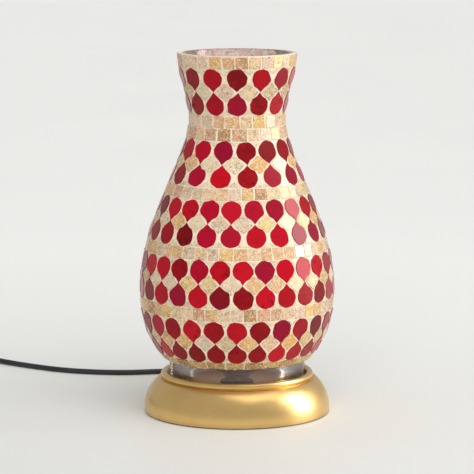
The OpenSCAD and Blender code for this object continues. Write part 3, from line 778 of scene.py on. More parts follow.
class Ring:
    """One ring of like tiles: its place on the curve, its count and its outline."""

    def __init__(self, outline, run, height, count, shift=0.0, spread=0.0, cut=1.0):
        self.outline, self.run, self.height = outline, run, height
        self.count, self.shift, self.spread, self.cut = count, shift, spread, cut


tile_edges = []
ring_seeds = itertools.count(11)
BACK_GAP = 0.04


def set_tiles(name, node, slot, rings, look=None):
    """Sets the rings in place with the tile tree and makes them one plain mesh."""
    sizes = bpy.context.scene.lamp_mosaic
    tree = bpy.data.node_groups.get("Tile ring") or ring_tree()
    ids = {s.name: s.identifier for s in tree.interface.items_tree if s.in_out == "INPUT"}
    carrier = linked(name, bpy.data.meshes.new(name))
    blocks = []
    for ring in rings:
        z = z_at(ring.run)
        lift = max(0.0, stand_off(ring.run, ring.height)) + BACK_GAP
        r, height = behind(z, TILE_BACK - lift)
        blocks.append(tile_block(name + "_block", ring.outline))
        values = {
            "Tile": blocks[-1], "Count": ring.count, "Radius": r * MM, "Height": height * MM,
            "Lean": math.atan(slope(z)), "Shift": ring.shift, "Width spread": ring.spread,
            "Tilt": sizes.tilt, "Cut": sizes.cut * ring.cut, "Seed": next(ring_seeds),
            "Glass": coat_of(look or slot),
        }
        modifier = carrier.modifiers.new("ring", "NODES")
        modifier.node_group = tree
        for key, value in values.items():
            modifier[ids[key]] = value
    graph = bpy.context.evaluated_depsgraph_get()
    mesh = bpy.data.meshes.new_from_object(
        carrier.evaluated_get(graph), preserve_all_data_layers=True, depsgraph=graph
    )
    mesh.name = name
    bpy.data.objects.remove(carrier)
    for block in blocks:
        bpy.data.objects.remove(block)
    note_edges(mesh)
    for spare in ("tile", "outward"):
        mesh.attributes.remove(mesh.attributes[spare])
    return piece(name, mesh, slot, "vase", [node], look)


def read(mesh, name, width=1):
    values = np.empty(len(mesh.vertices) * width, dtype=np.float32)
    mesh.attributes[name].data.foreach_get("value" if width == 1 else "vector", values)
    return values.reshape(-1, width) if width > 1 else values


def note_edges(mesh):
    """Keeps each tile's face edge and plane, which the grout is brought up to."""
    places = np.empty(len(mesh.vertices) * 3, dtype=np.float32)
    mesh.vertices.foreach_get("co", places)
    places = places.reshape(-1, 3)
    edge, tile, outward = read(mesh, "edge"), read(mesh, "tile"), read(mesh, "outward", 3)
    on_edge = edge > 0.5
    for k in np.unique(tile[on_edge]):
        chosen = on_edge & (tile == k)
        tile_edges.append((places[chosen] / MM, outward[chosen][0]))


def drop_round_r(i, up, count):
    run = row_top(i) + DROP_W / 2 if up else row_top(i) + row_len(i) - DROP_W / 2
    return min(DROP_W / 2, behind(z_at(run), TILE_BACK)[0] * math.sin(math.pi / count) - JOINT / 2)


def drop_outline(r, length, up):
    """Round at one end and pointed at the other, its straight sides a little hollow."""
    mid = length - r + DROP_REACH
    tangent = mid - r * math.sin(POINT_ANGLE)
    hollow_x = 0.55 * r * math.cos(POINT_ANGLE) * 0.92
    hollow_y = 0.55 * tangent + 0.1
    points = [(0.0, -DROP_REACH), (hollow_x, hollow_y)]
    for i in range(17):
        a = -POINT_ANGLE + (math.pi + 2 * POINT_ANGLE) * i / 16
        points.append((r * math.cos(a), mid + r * math.sin(a)))
    points.append((-hollow_x, hollow_y))
    turn = 1 if up else -1
    return [(turn * x, turn * (y - length / 2)) for x, y in points]


def band_shift(band):
    """A band's turn round the axis, in tiles."""
    return BAND_TURNS[band] * DROP_COUNTS[band] / 360


def drop_rings(band):
    i, count = BAND_ROWS[band], DROP_COUNTS[band]
    rings = []
    for row, up in ((i, True), (i + 1, False)):
        r = drop_round_r(row, up, count)
        outline = drop_outline(r, row_len(row), up)
        rings.append(Ring(outline, row_mid(row), row_len(row), count, band_shift(band), cut=1.6))
    return rings


def diamond_ring(band):
    i, count = BAND_ROWS[band], DROP_COUNTS[band]
    run = row_top(i + 1) - STRETCH * JOINT / 2
    r = min(drop_round_r(i, True, count), drop_round_r(i + 1, False, count))
    half_pitch = behind(z_at(run), TILE_BACK)[0] * math.sin(math.pi / count)
    tip_x, tip_y = half_pitch - JOINT, DROP_L / 2 - JOINT
    waist_y = DROP_L - 1.75 * r
    waist_x = max(half_pitch - waist_y * math.tan(POINT_ANGLE) - JOINT, 1)
    corners = [
        (tip_x, 0), (waist_x, waist_y), (0, tip_y), (-waist_x, waist_y),
        (-tip_x, 0), (-waist_x, -waist_y), (0, -tip_y), (waist_x, -waist_y),
    ]
    return Ring(split(corners, 3.2), run, 2 * tip_y, count, 0.5 + band_shift(band))


CORNER_H, CORNER_WAIST, CORNER_JOINT = 4.4, 1.9, 0.8


def corner_ring(band, up):
    i, count = BAND_ROWS[band] + (0 if up else 1), DROP_COUNTS[band]
    r = drop_round_r(i, up, count)
    half = CORNER_H / 2
    run = row_top(i) + half if up else row_top(i) + row_len(i) - half
    half_pitch = behind(z_at(run), TILE_BACK)[0] * math.sin(math.pi / count)

    def room(depth):
        """Half the room between two round ends, at a depth under their tops."""
        return half_pitch - math.sqrt(r * r - (r - depth) ** 2) - CORNER_JOINT

    wide, waist, waist_y = room(0.8), room(2.4), half - CORNER_WAIST
    corners = [(-wide, half), (-waist, waist_y), (0, -half), (waist, waist_y), (wide, half)]
    turn = 1 if up else -1
    outline = [(turn * x, turn * y) for x, y in corners]
    return Ring(outline, run, CORNER_H, count, 0.5 + band_shift(band), cut=0.5)


def square_ring(i, count=None, shift=0.0, spread=0.13):
    run, h = row_mid(i), row_len(i)
    count = count or round_count(run)
    top = behind(z_at(run - h / 2), TILE_BACK)[0]
    low = behind(z_at(run + h / 2), TILE_BACK)[0]
    half_top = top * math.sin(math.pi / count) - SQUARE_JOINT / 2
    half_low = low * math.sin(math.pi / count) - SQUARE_JOINT / 2
    half = (h + JOINT - SQUARE_JOINT) / 2
    corners = [(-half_low, -half), (half_low, -half), (half_top, half), (-half_top, half)]
    return Ring(split(corners, 3.4), run, h, count, shift, spread, 0.7)


# ---- Grout ----
# Where the grout stands against the tiles' faces, in millimetres
BELOW_EDGE, BELOW_FACE, RISE_AGAIN, NO_TILE = 0.30, 0.55, 0.2, 9.0
HEM_DEPTH = 1.1


def grout_field(turns, runs):
    """How far the grout stands from the face curve, brought up to the tiles' edges."""
    heights = np.array([z_at(run) for run in runs])
    radii = np.array([face_r(z) for z in heights])
    slopes = np.array([slope(z) for z in heights])
    q = np.hypot(1, slopes)
    cos, sin = np.cos(turns), np.sin(turns)

    def grid(across, along):
        flat_z = np.repeat(along[:, None], len(turns), 1)
        return np.stack([across[:, None] * cos, across[:, None] * sin, flat_z], axis=-1)

    place, out = grid(radii, heights), grid(1 / q, -slopes / q)
    points = np.concatenate([edge for edge, _ in tile_edges])
    owner = np.concatenate([np.full(len(edge), k) for k, (edge, _) in enumerate(tile_edges)])
    z = np.clip(points[:, 2], HEM_Z, RIM_Z)
    proud = np.array([
        (math.hypot(p[0], p[1]) - face_r(float(h))) / math.hypot(1, slope(float(h)))
        for p, h in zip(points, z)
    ])
    tree = kdtree.KDTree(len(points))
    for k, p in enumerate(points):
        tree.insert(p, k)
    tree.balance()
    flat = place.reshape(-1, 3)
    level = np.empty(len(flat))
    near = np.empty(len(flat), dtype=int)
    for k, p in enumerate(flat):
        found = tree.find_n(p, 4)
        weights = [1 / (d * d + 0.05) for _, _, d in found]
        level[k] = sum(w * proud[j] for w, (_, j, _) in zip(weights, found)) / sum(weights)
        near[k] = owner[found[0][1]]
    ceiling = np.full(len(flat), NO_TILE)
    normals = out.reshape(-1, 3)
    for k, (edge, normal) in enumerate(tile_edges):
        mine = np.nonzero(near == k)[0]
        middle = edge.mean(axis=0)
        side = np.cross((0.0, 0.0, 1.0), normal)
        side /= np.linalg.norm(side)
        up = np.cross(normal, side)
        corners = np.stack([(edge - middle) @ side, (edge - middle) @ up], axis=1)
        spots = np.stack([(flat[mine] - middle) @ side, (flat[mine] - middle) @ up], axis=1)
        within = inside_outline(spots, corners)
        held = mine[within]
        face = ((middle - flat[held]) @ normal) / (normals[held] @ normal)
        ceiling[held] = face - BELOW_FACE
    wide = (len(runs), len(turns))
    level = np.minimum(level - BELOW_EDGE, ceiling).reshape(wide)
    ceiling = ceiling.reshape(wide)
    for _ in range(2):
        level = np.minimum(soften(level), ceiling + RISE_AGAIN)
    return level, place, out


def soften(level):
    above = np.concatenate([level[:1], level[:-1]])
    below = np.concatenate([level[1:], level[-1:]])
    return 0.5 * level + 0.125 * (above + below + np.roll(level, 1, 1) + np.roll(level, -1, 1))


def inside_outline(spots, corners):
    within = np.zeros(len(spots), dtype=bool)
    for a, b in zip(corners, np.roll(corners, -1, axis=0)):
        crosses = (a[1] > spots[:, 1]) != (b[1] > spots[:, 1])
        rise = b[1] - a[1] if abs(b[1] - a[1]) > 1e-9 else 1e-9
        within ^= crosses & (spots[:, 0] < (b[0] - a[0]) * (spots[:, 1] - a[1]) / rise + a[0])
    return within


def grout_mesh():
    sides, steps, inner_steps = 360, 200, 40
    turns = np.arange(sides) * 2 * math.pi / sides
    runs = np.linspace(0.0, CURVE_L, steps)
    level, place, out = grout_field(turns, runs)
    level[0] = np.minimum(level[0], -0.5)
    level[-1] = -HEM_DEPTH

    def ragged(scale, seed, a):
        return noise.noise(Vector((math.cos(a) * scale, math.sin(a) * scale, seed)))

    rough = np.array([ragged(4.0, 7.0, a) * 1.1 + ragged(17.0, 3.0, a) * 0.6 for a in turns])
    outer = place + out * level[..., None]
    for k, share in ((1, 1.0), (2, 0.5)):
        outer[-k, :, 2] += rough * share - 0.3 * share
    rings = list(outer)
    drop = np.stack([0 * rough, 0 * rough, rough * 0.6], 1)
    rings.append(ring_at(HEM_Z, BED_BACK, turns) + drop)
    for run in np.linspace(CURVE_L, 0.0, inner_steps)[1:]:
        rings.append(ring_at(z_at(run), BED_BACK, turns))
    points = np.concatenate(rings) * MM
    count = len(rings)
    faces = []
    for k in range(count):
        faces += strip(k * sides, (k + 1) % count * sides, sides)
    mesh = bpy.data.meshes.new("grout")
    mesh.from_pydata(points.tolist(), [], faces)
    inside = mesh.attributes.new("inside", "FLOAT", "POINT")
    share = np.zeros(len(points), dtype=np.float32)
    share[sides * (steps + 1):] = 1.0
    inside.data.foreach_set("value", share)
    smooth(mesh, 50)
    return mesh


def ring_at(z, depth, turns):
    r, height = behind(z, depth)
    return np.stack([r * np.cos(turns), r * np.sin(turns), np.full(len(turns), height)], axis=1)


# ---- Lead ----
LEAD_D = 4.5
RUN_ROUTE = (
    (0, 70, 10), (0, 85, 10), (0, 99, 10), (0, 108, 8.8), (-1, 117, 6.4), (-4, 127, 3.8),
    (-11, 137, 2.4), (-23, 145, 2.3), (-42, 149, 2.3), (-67, 148, 2.3), (-95, 143, 2.3),
    (-122, 145, 2.3), (-152, 154, 2.3), (-183, 173, 2.3), (-212, 194, 2.8), (-226, 203, 4.6),
    (-237, 210, 6.5),
)
LINK_ROUTE = (
    (-255, 220.4, 6.5), (-273, 230.7, 6.5), (-291, 241, 6.5), (-299, 244, 4.9), (-308, 243, 3.4),
    (-315.5, 238, 2.5), (-320, 230, 2.3), (-320.8, 221, 2.3), (-318, 207, 2.4), (-311, 190, 2.8),
)
TAIL_ROUTE = (
    (-300, 142, 11.6), (-300, 136, 10.2), (-300, 129, 8.3), (-300, 122, 7.3), (-300, 116, 7.1),
    (-300, 112, 7.1),
)
COIL_MID = (-275.0, 165.0)
# Each turn of the coil is a radius and a height
COIL_TURNS = (
    (29.5, 3.2), (25.0, 3.2), (20.5, 3.2), (20.5, 7.65), (25.0, 7.65), (29.5, 7.65),
    (25.0, 12.1), (29.5, 12.1),
)
COIL_START, COIL_END, COIL_STEP = 178, 203, 15


def coil_points():
    points = []
    whole = 360 * len(COIL_TURNS) + COIL_END - COIL_START
    for turned_by in range(0, whole + 1, COIL_STEP):
        k = min(turned_by // 360, len(COIL_TURNS) - 1)
        share = min(max((turned_by - 360 * k - 270) / 90, 0), 1) if k + 1 < len(COIL_TURNS) else 0
        share = share * share * (3 - 2 * share)
        here, after = COIL_TURNS[k], COIL_TURNS[min(k + 1, len(COIL_TURNS) - 1)]
        r = here[0] + (after[0] - here[0]) * share
        z = here[1] + (after[1] - here[1]) * share
        a = math.radians(COIL_START + turned_by)
        points.append((COIL_MID[0] + r * math.cos(a), COIL_MID[1] + r * math.sin(a), z))
    return points


def curve_through(points, steps):
    """A smooth curve through the points, as on the frame."""
    made = []
    p = [Vector(q) for q in points]
    p = [p[0] * 2 - p[1]] + p + [p[-1] * 2 - p[-2]]
    for a, b, c, d in zip(p, p[1:], p[2:], p[3:]):
        for k in range(steps):
            t = k / steps
            made.append(0.5 * (
                2 * b + (c - a) * t + (2 * a - 5 * b + 4 * c - d) * t * t
                + (3 * b - a - 3 * c + d) * t * t * t
            ))
    return made + [p[-2]]


def evenly(points, gap):
    """The same line with its points a gap apart, and its length."""
    line = np.array([list(p) for p in points])
    far = np.concatenate([[0], np.cumsum(np.linalg.norm(np.diff(line, axis=0), axis=1))])
    marks = np.linspace(0, far[-1], max(2, round(far[-1] / gap)))
    return np.stack([np.interp(marks, far, line[:, k]) for k in range(3)], axis=1), far[-1]


def tube(name, line, r, sides):
    """A closed round tube along a line in metres, with a UV of length and turn."""
    count = len(line)
    ahead = np.gradient(line, axis=0)
    ahead /= np.linalg.norm(ahead, axis=1)[:, None]
    side = np.cross(ahead[0], (0.0, 0.0, 1.0))
    points = []
    for k in range(count):
        side = side - ahead[k] * (side @ ahead[k])
        side /= np.linalg.norm(side)
        up = np.cross(side, ahead[k])
        for i in range(sides):
            a = 2 * math.pi * i / sides
            points.append(line[k] + r * (math.cos(a) * side + math.sin(a) * up))
    faces = [tuple(range(sides)), tuple(range((count - 1) * sides, count * sides))[::-1]]
    for k in range(count - 1):
        faces += strip(k * sides, (k + 1) * sides, sides)
    mesh = bpy.data.meshes.new(name)
    mesh.from_pydata([tuple(p) for p in points], [], faces)
    layer = mesh.uv_layers.new(name="along")
    gap = float(np.linalg.norm(line[1] - line[0]))
    for face in mesh.polygons:
        wrap = face.index >= 2 and (face.index - 2) % sides == sides - 1
        for loop in face.loop_indices:
            vert = mesh.loops[loop].vertex_index
            turn = vert % sides
            if wrap and turn == 0:
                turn = sides
            layer.data[loop].uv = (vert // sides * gap, turn / sides)
    made = bmesh.new()
    made.from_mesh(mesh)
    bmesh.ops.recalc_face_normals(made, faces=made.faces)
    made.to_mesh(mesh)
    made.free()
    smooth(mesh, 60)
    return mesh


# ---- Settings that a user would change ----
def number_setting(name, description, default, low, high, **more):
    return bpy.props.FloatProperty(
        name=name, description=description, default=default, min=low, max=high, **more
    )


def colour_setting(name, description, default):
    return bpy.props.FloatVectorProperty(
        name=name, description=description, default=default, min=0.0, max=1.0, size=3,
        subtype="COLOR",
    )


class LAMP_PG_mosaic(bpy.types.PropertyGroup):
    """How exactly the mosaic is cut and laid"""

    cut: number_setting(
        "Cut wander", "How far a hand-cut edge strays from its outline",
        0.0009, 0.0, 0.0012, unit="LENGTH",
    )
    tilt: number_setting(
        "Tile tilt", "How far a tile leans in its bed",
        math.radians(1.5), 0.0, math.radians(4), subtype="ANGLE",
    )


class LAMP_PG_colours(bpy.types.PropertyGroup):
    """The lamp's leading colours"""

    crimson_deep: colour_setting("Deep crimson", "The darkest drops", (0.15, 0.0005, 0.002))
    crimson_bright: colour_setting("Bright crimson", "The brightest drops", (0.48, 0.0005, 0.010))
    crimson_wine: colour_setting("Wine", "The bluest drops", (0.31, 0.0005, 0.032))
    grout: colour_setting("Grout", "The mortar between the tiles", (0.90, 0.75, 0.57))
    gold: colour_setting("Satin gold", "The spun base", (0.79, 0.53, 0.20))


class LAMP_PG_stage(bpy.types.PropertyGroup):
    """Where the camera stands, and the light"""

    distance: number_setting(
        "Distance", "From the camera to the lamp's axis", 2.0, 0.5, 6.0, unit="LENGTH"
    )
    height: number_setting("Height", "The camera above the table", 0.4334, 0.0, 3.0, unit="LENGTH")
    pitch: number_setting(
        "Pitch", "How far the camera looks down",
        math.radians(8.28), 0.0, math.radians(60), subtype="ANGLE",
    )
    lens: number_setting("Lens", "Focal length in millimetres", 190.25, 20, 400)
    window: number_setting(
        "Window light", "Brightness of the tall window on the right", 1.6, 0.0, 20.0
    )
    glint: number_setting(
        "Window in the gloss", "How bright the window is in glass and metal", 9.0, 0.0, 60.0
    )
    room: number_setting("Room light", "Strength of the even light of the room", 0.50, 0.0, 3.0)
    ceiling: number_setting(
        "Ceiling light", "Strength of the broad light from above", 2.25, 0.0, 10.0
    )


# ---- Operators ----
class LAMP_OT_stage(bpy.types.Operator):
    """Make the camera, the lights and the pale floor"""

    bl_idname = "lamp.stage"
    bl_label = "Stage"

    def execute(self, context):
        stage = context.scene.lamp_stage
        camera = linked("camera", bpy.data.cameras.new("camera"))
        camera.location = (0.0, -stage.distance, stage.height)
        camera.rotation_euler = (math.pi / 2 - stage.pitch, 0.0, 0.0)
        camera.data.lens, camera.data.sensor_width = stage.lens, 36.0
        camera.data.clip_start, camera.data.clip_end = 0.05, 60.0
        context.scene.camera = camera
        context.scene.view_settings.view_transform = "Standard"
        window = ((1.25, -0.10, 0.60), (0.50, 1.20))
        self.softbox("window", *window, stage.window).visible_glossy = False
        glint = ((1.25, 0.02, 0.55), (0.60, 1.10))
        self.softbox("window_in_gloss", *glint, stage.glint).visible_diffuse = False
        ceiling = bpy.data.lights.new("ceiling", "SUN")
        ceiling.energy, ceiling.angle = stage.ceiling, math.radians(75)
        self.hang(ceiling, (0.35, -0.92, 0.75), (0.0, 0.0, 0.0)).visible_glossy = False
        shine = ((0.35, -0.30, 1.60), (1.20, 1.20))
        self.softbox("ceiling_in_gloss", *shine, stage.room * 3).visible_diffuse = False
        world = bpy.data.worlds.new("room")
        world.use_nodes = True
        context.scene.world = world
        back = world.node_tree.nodes["Background"]
        back.inputs["Color"].default_value = (0.98, 0.985, 1.0, 1.0)
        back.inputs["Strength"].default_value = stage.room
        half = 9.0
        mesh = bpy.data.meshes.new("floor")
        corners = [(-half, -half, 0), (half, -half, 0), (half, half, 0), (-half, half, 0)]
        mesh.from_pydata(corners, [], [(0, 1, 2, 3)])
        floor = linked("floor", mesh)
        mesh.materials.append(finish("pale_floor", self.floor_finish))
        return {"FINISHED"}

    @staticmethod
    def floor_finish(n):
        x, y = n.axis("X"), n.axis("Y")
        cloud = n.grain(n.place, 3.0, 5.0, 0.6)
        pale = n.fade((0.87, 0.87, 0.82), (0.85, 0.85, 0.80), cloud, 0.4, 0.7)
        # Painted shade: the floor is darker to the front and left of the lamp
        pale = n.fade(pale, (0.72, 0.73, 0.70), x + y * 0.8, -0.05, -0.75, 0.85)
        return {
            "Base Color": n.fade(pale, (0.97, 0.965, 0.93), y, 0.05, 0.8),
            "Roughness": n.spread(cloud, 0.3, 0.7, 0.42, 0.55),
            "Specular IOR Level": 0.3,
        }

    def softbox(self, name, place, size, brightness):
        """A rectangle of light of an even brightness that faces the lamp."""
        data = bpy.data.lights.new(name, "AREA")
        data.shape, data.size, data.size_y = "RECTANGLE", size[0], size[1]
        data.energy = brightness * math.pi * size[0] * size[1]
        return self.hang(data, place, (0.0, 0.0, 0.15))

    @staticmethod
    def hang(data, place, aim):
        lamp = linked(data.name, data)
        lamp.location = place
        lamp.rotation_euler = (Vector(aim) - Vector(place)).to_track_quat("-Z", "Y").to_euler()
        return lamp


class LAMP_OT_lead(bpy.types.Operator):
    """Lay the mains lead, its strain relief, its coil and its tie"""

    bl_idname = "lamp.lead"
    bl_label = "Lead"

    def execute(self, context):
        points = list(RUN_ROUTE) + list(LINK_ROUTE) + coil_points() + list(TAIL_ROUTE)
        line, _ = evenly(curve_through(points, 6), 3.0)
        for _ in range(4):
            line[1:-1] = 0.5 * line[1:-1] + 0.25 * (line[:-2] + line[2:])
        line, length = evenly(line, 3.0)
        print("lead length in metres", round(length * MM, 4))
        line = line * MM
        lead = piece(
            "mains_lead", tube("mains_lead", line, LEAD_D / 2 * MM, 16), "cord_pvc", "base",
            ["cord_run", "cord_link", "cord_coil", "cord_tail"],
        )
        relief = self.relief()
        tie = softened("coil_tie", "tie", "base", 0.00025, 2)
        ends = [relief, tie]
        ends += [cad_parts[k] for k in ("switch_contacts", "switch_screws", "plug_pins")]
        for name, slot, body, width in (
            ("switch_base", "switch_plastic", "base", 0.0009),
            ("switch_cover", "switch_plastic", "base", 0.0009),
            ("switch_rocker", "rocker_plastic", "rocker", 0.0005),
            ("plug_body", "switch_plastic", "base", 0.0009),
        ):
            ends.append(softened(name, slot, body, width))
        return {"FINISHED"}

    @staticmethod
    def relief():
        """A tapered strain relief ringed with the grooves that a real one bends at."""
        low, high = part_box("strain_relief")
        start, length = low[1] / MM, (high[1] - low[1]) / MM
        flange, neck, bore, tip = 5.45, 4.45, 2.3, 3.15
        section = [(bore, 0.0), (flange - 0.4, 0.0), (flange, 0.4), (flange, 1.3)]
        section += [(neck, 1.5), (neck, 5.6), (flange, 5.8), (flange, 7.0), (flange - 0.5, 7.5)]
        count, first = 7, 8.2
        pitch = (length - first - 1.0) / count
        for k in range(count):
            z = first + k * pitch
            r = flange - 0.6 + (tip - flange + 0.6) * (z - first) / (length - first)
            for cut, along in ((0, 0), (0.05, 0.62), (0.75, 0.70), (0.8, 0.92)):
                section.append((r - cut, z + along * pitch))
        section += [(tip, length - 0.6), (tip - 0.35, length), (bore, length)]
        mesh = turned("strain_relief_grooved", section, 40)
        place = Matrix.Translation((0.0, start * MM, 0.010))
        mesh.transform(place @ Matrix.Rotation(-math.pi / 2, 4, "X"))
        smooth(mesh, 35)
        return piece("strain_relief_grooved", mesh, "rubber", "base", ["strain_relief"])


class LAMP_OT_squares(bpy.types.Operator):
    """Set the rows of mottled squares and the hem tiles"""

    bl_idname = "lamp.squares"
    bl_label = "Squares"

    def execute(self, context):
        neck = round_count(row_mid(3))
        rows = {
            "rim_squares": [square_ring(0)],
            "neck_squares": [square_ring(3, neck), square_ring(4, neck, 0.5)],
            "shoulder_squares": [square_ring(7)],
            "waist_squares": [square_ring(10)],
            "belly_squares": [square_ring(13)],
        }
        for node, rings in rows.items():
            set_tiles(node + "_cut", node, "champagne_glass", rings)
        hem = [square_ring(16, DROP_COUNTS[4], 0.5, 0.06)]
        set_tiles("hem_tiles_cut", "hem_tiles", "champagne_glass", hem, "hem_glass")
        return {"FINISHED"}


class LAMP_OT_drops(bpy.types.Operator):
    """Set the five bands of crimson drops"""

    bl_idname = "lamp.drops"
    bl_label = "Drops"

    def execute(self, context):
        for band in range(len(BAND_ROWS)):
            node = f"drops_band_{band + 1}"
            set_tiles(node + "_cut", node, "crimson_glass", drop_rings(band))
        return {"FINISHED"}


class LAMP_OT_pearl(bpy.types.Operator):
    """Set the four-pointed tiles and the small corner tiles"""

    bl_idname = "lamp.pearl"
    bl_label = "Four-pointed and corner tiles"

    def execute(self, context):
        for band in range(len(BAND_ROWS)):
            node = f"diamonds_band_{band + 1}"
            set_tiles(node + "_cut", node, "pearl_glass", [diamond_ring(band)])
        bands = range(len(BAND_ROWS))
        corners = [corner_ring(band, up) for band in bands for up in (True, False)]
        set_tiles("corner_tiles_cut", "corner_tiles", "pearl_glass", corners, "corner_glass")
        return {"FINISHED"}


class LAMP_OT_grout(bpy.types.Operator):
    """Fill the joints with grout, brought up to the edges of the tiles"""

    bl_idname = "lamp.grout"
    bl_label = "Grout"

    def execute(self, context):
        if not tile_edges:
            raise RuntimeError("set the tiles before the grout")
        piece("grout", grout_mesh(), "grout", "vase", ["mortar_bed"])
        return {"FINISHED"}


class LAMP_OT_vase(bpy.types.Operator):
    """Blow the clear glass vase with its bare collar"""

    bl_idname = "lamp.vase"
    bl_label = "Glass vase"

    def execute(self, context):
        inner = COLLAR_R - GLASS_T
        heights = np.linspace(RIM_Z, HEM_Z, 90)
        outside = [behind(z, SKIN_T) for z in heights]
        within = [behind(z, SKIN_T + GLASS_T) for z in heights[::-1]]
        section = [(COLLAR_R + 0.25, HEM_Z - 0.7), (COLLAR_R, HEM_Z - 1.6)]
        section += [(COLLAR_R, z) for z in (40.0, 37.0, 34.0, 31.0, 28.0)]
        section += arc((COLLAR_R - 0.8, COLLAR_Z + 0.8), 0.8, 0, -90, 4)
        section += arc((inner + 0.8, COLLAR_Z + 0.8), 0.8, -90, -180, 4)
        section += [(inner, z) for z in (28.0, 31.0, 34.0, 37.0, 40.0, HEM_Z - 2.6)]
        section += [(inner + 0.3, HEM_Z - 1.0)]
        top_out, top_in = outside[0], within[-1]
        mid = (top_out[0] + top_in[0]) / 2
        half = (top_out[0] - top_in[0]) / 2
        lip = arc((mid, RIM_Z - half), half, 180, 0, 8)[1:-1]
        mesh = turned("vase_glass", outside[1:] + section + within[:-1] + lip, 144)
        smooth(mesh, 45)
        piece("vase_glass", mesh, "clear_glass", "vase", ["glass_vase"])
        return {"FINISHED"}


class LAMP_OT_base(bpy.types.Operator):
    """Spin the satin gold base, and finish what is under it"""

    bl_idname = "lamp.base"
    bl_label = "Base"

    def execute(self, context):
        mesh = turned("spun_base", self.section(), 192)
        smooth(mesh, 38)
        piece("spun_base", mesh, "satin_gold", "base", ["base_shell"])
        for name, slot, width, segments in (
            ("bottom_plate", "dark_plate", 0.0003, 2), ("rubber_feet", "rubber", 0.0006, 3),
            ("plate_screws", "steel", 0.0004, 2), ("seat_gasket", "silicone", 0.0003, 2),
            ("floor_washer", "dark_plate", 0.0003, 2), ("nipple_nut", "steel", 0.0003, 2),
            ("cord_grip", "slate_plastic", 0.0006, 2),
        ):
            softened(name, slot, "base", width, segments)
        return {"FINISHED"}

    @staticmethod
    def section():
        """The section of the shell: band, dome, rolled lip and the well that the vase stands in."""
        base_r, sheet, edge, band_h, dome_h = 75.0, 0.8, 0.8, 4.2, 23.1
        lip_r, lip_step, well_r, well_z = 2.8, 1.8, 56.2, 23.2
        dome_z = edge + band_h + dome_h
        lip_mid = (well_r + lip_r, dome_z + lip_r)
        reach = base_r - well_r - 2 * lip_r - lip_step
        dome_r = (reach * reach + dome_h * dome_h) / (2 * reach)
        mid = (base_r - dome_r, edge + band_h)

        def dome(inset):
            last = math.degrees(math.asin((dome_h - inset) / (dome_r - inset)))
            return arc(mid, dome_r - inset, 0, last, 40)

        outside = [(base_r - 0.3, edge), (base_r, edge + 0.3), (base_r, edge + 2.0)] + dome(0)
        outside += [(lip_mid[0] + 0.6 * lip_r, dome_z)]
        outside += arc(lip_mid, lip_r, -50, 180, 36)
        outside += [(well_r, z) for z in (30.0, 28.0, 26.0, 24.2)]
        outside += arc((well_r - 1.0, well_z + 1.0), 1.0, 0, -90, 4)[1:]
        outside += [(r, well_z) for r in (50.0, 40.0, 30.0, 20.0, 12.0, 5.3)]
        back = [(r, well_z - sheet) for r in (5.3, 12.0, 30.0, 50.0)]
        back += [(well_r + sheet, well_z - sheet), (well_r + sheet, dome_z - sheet)]
        return outside + back + dome(sheet)[::-1] + [(base_r - sheet, edge)]


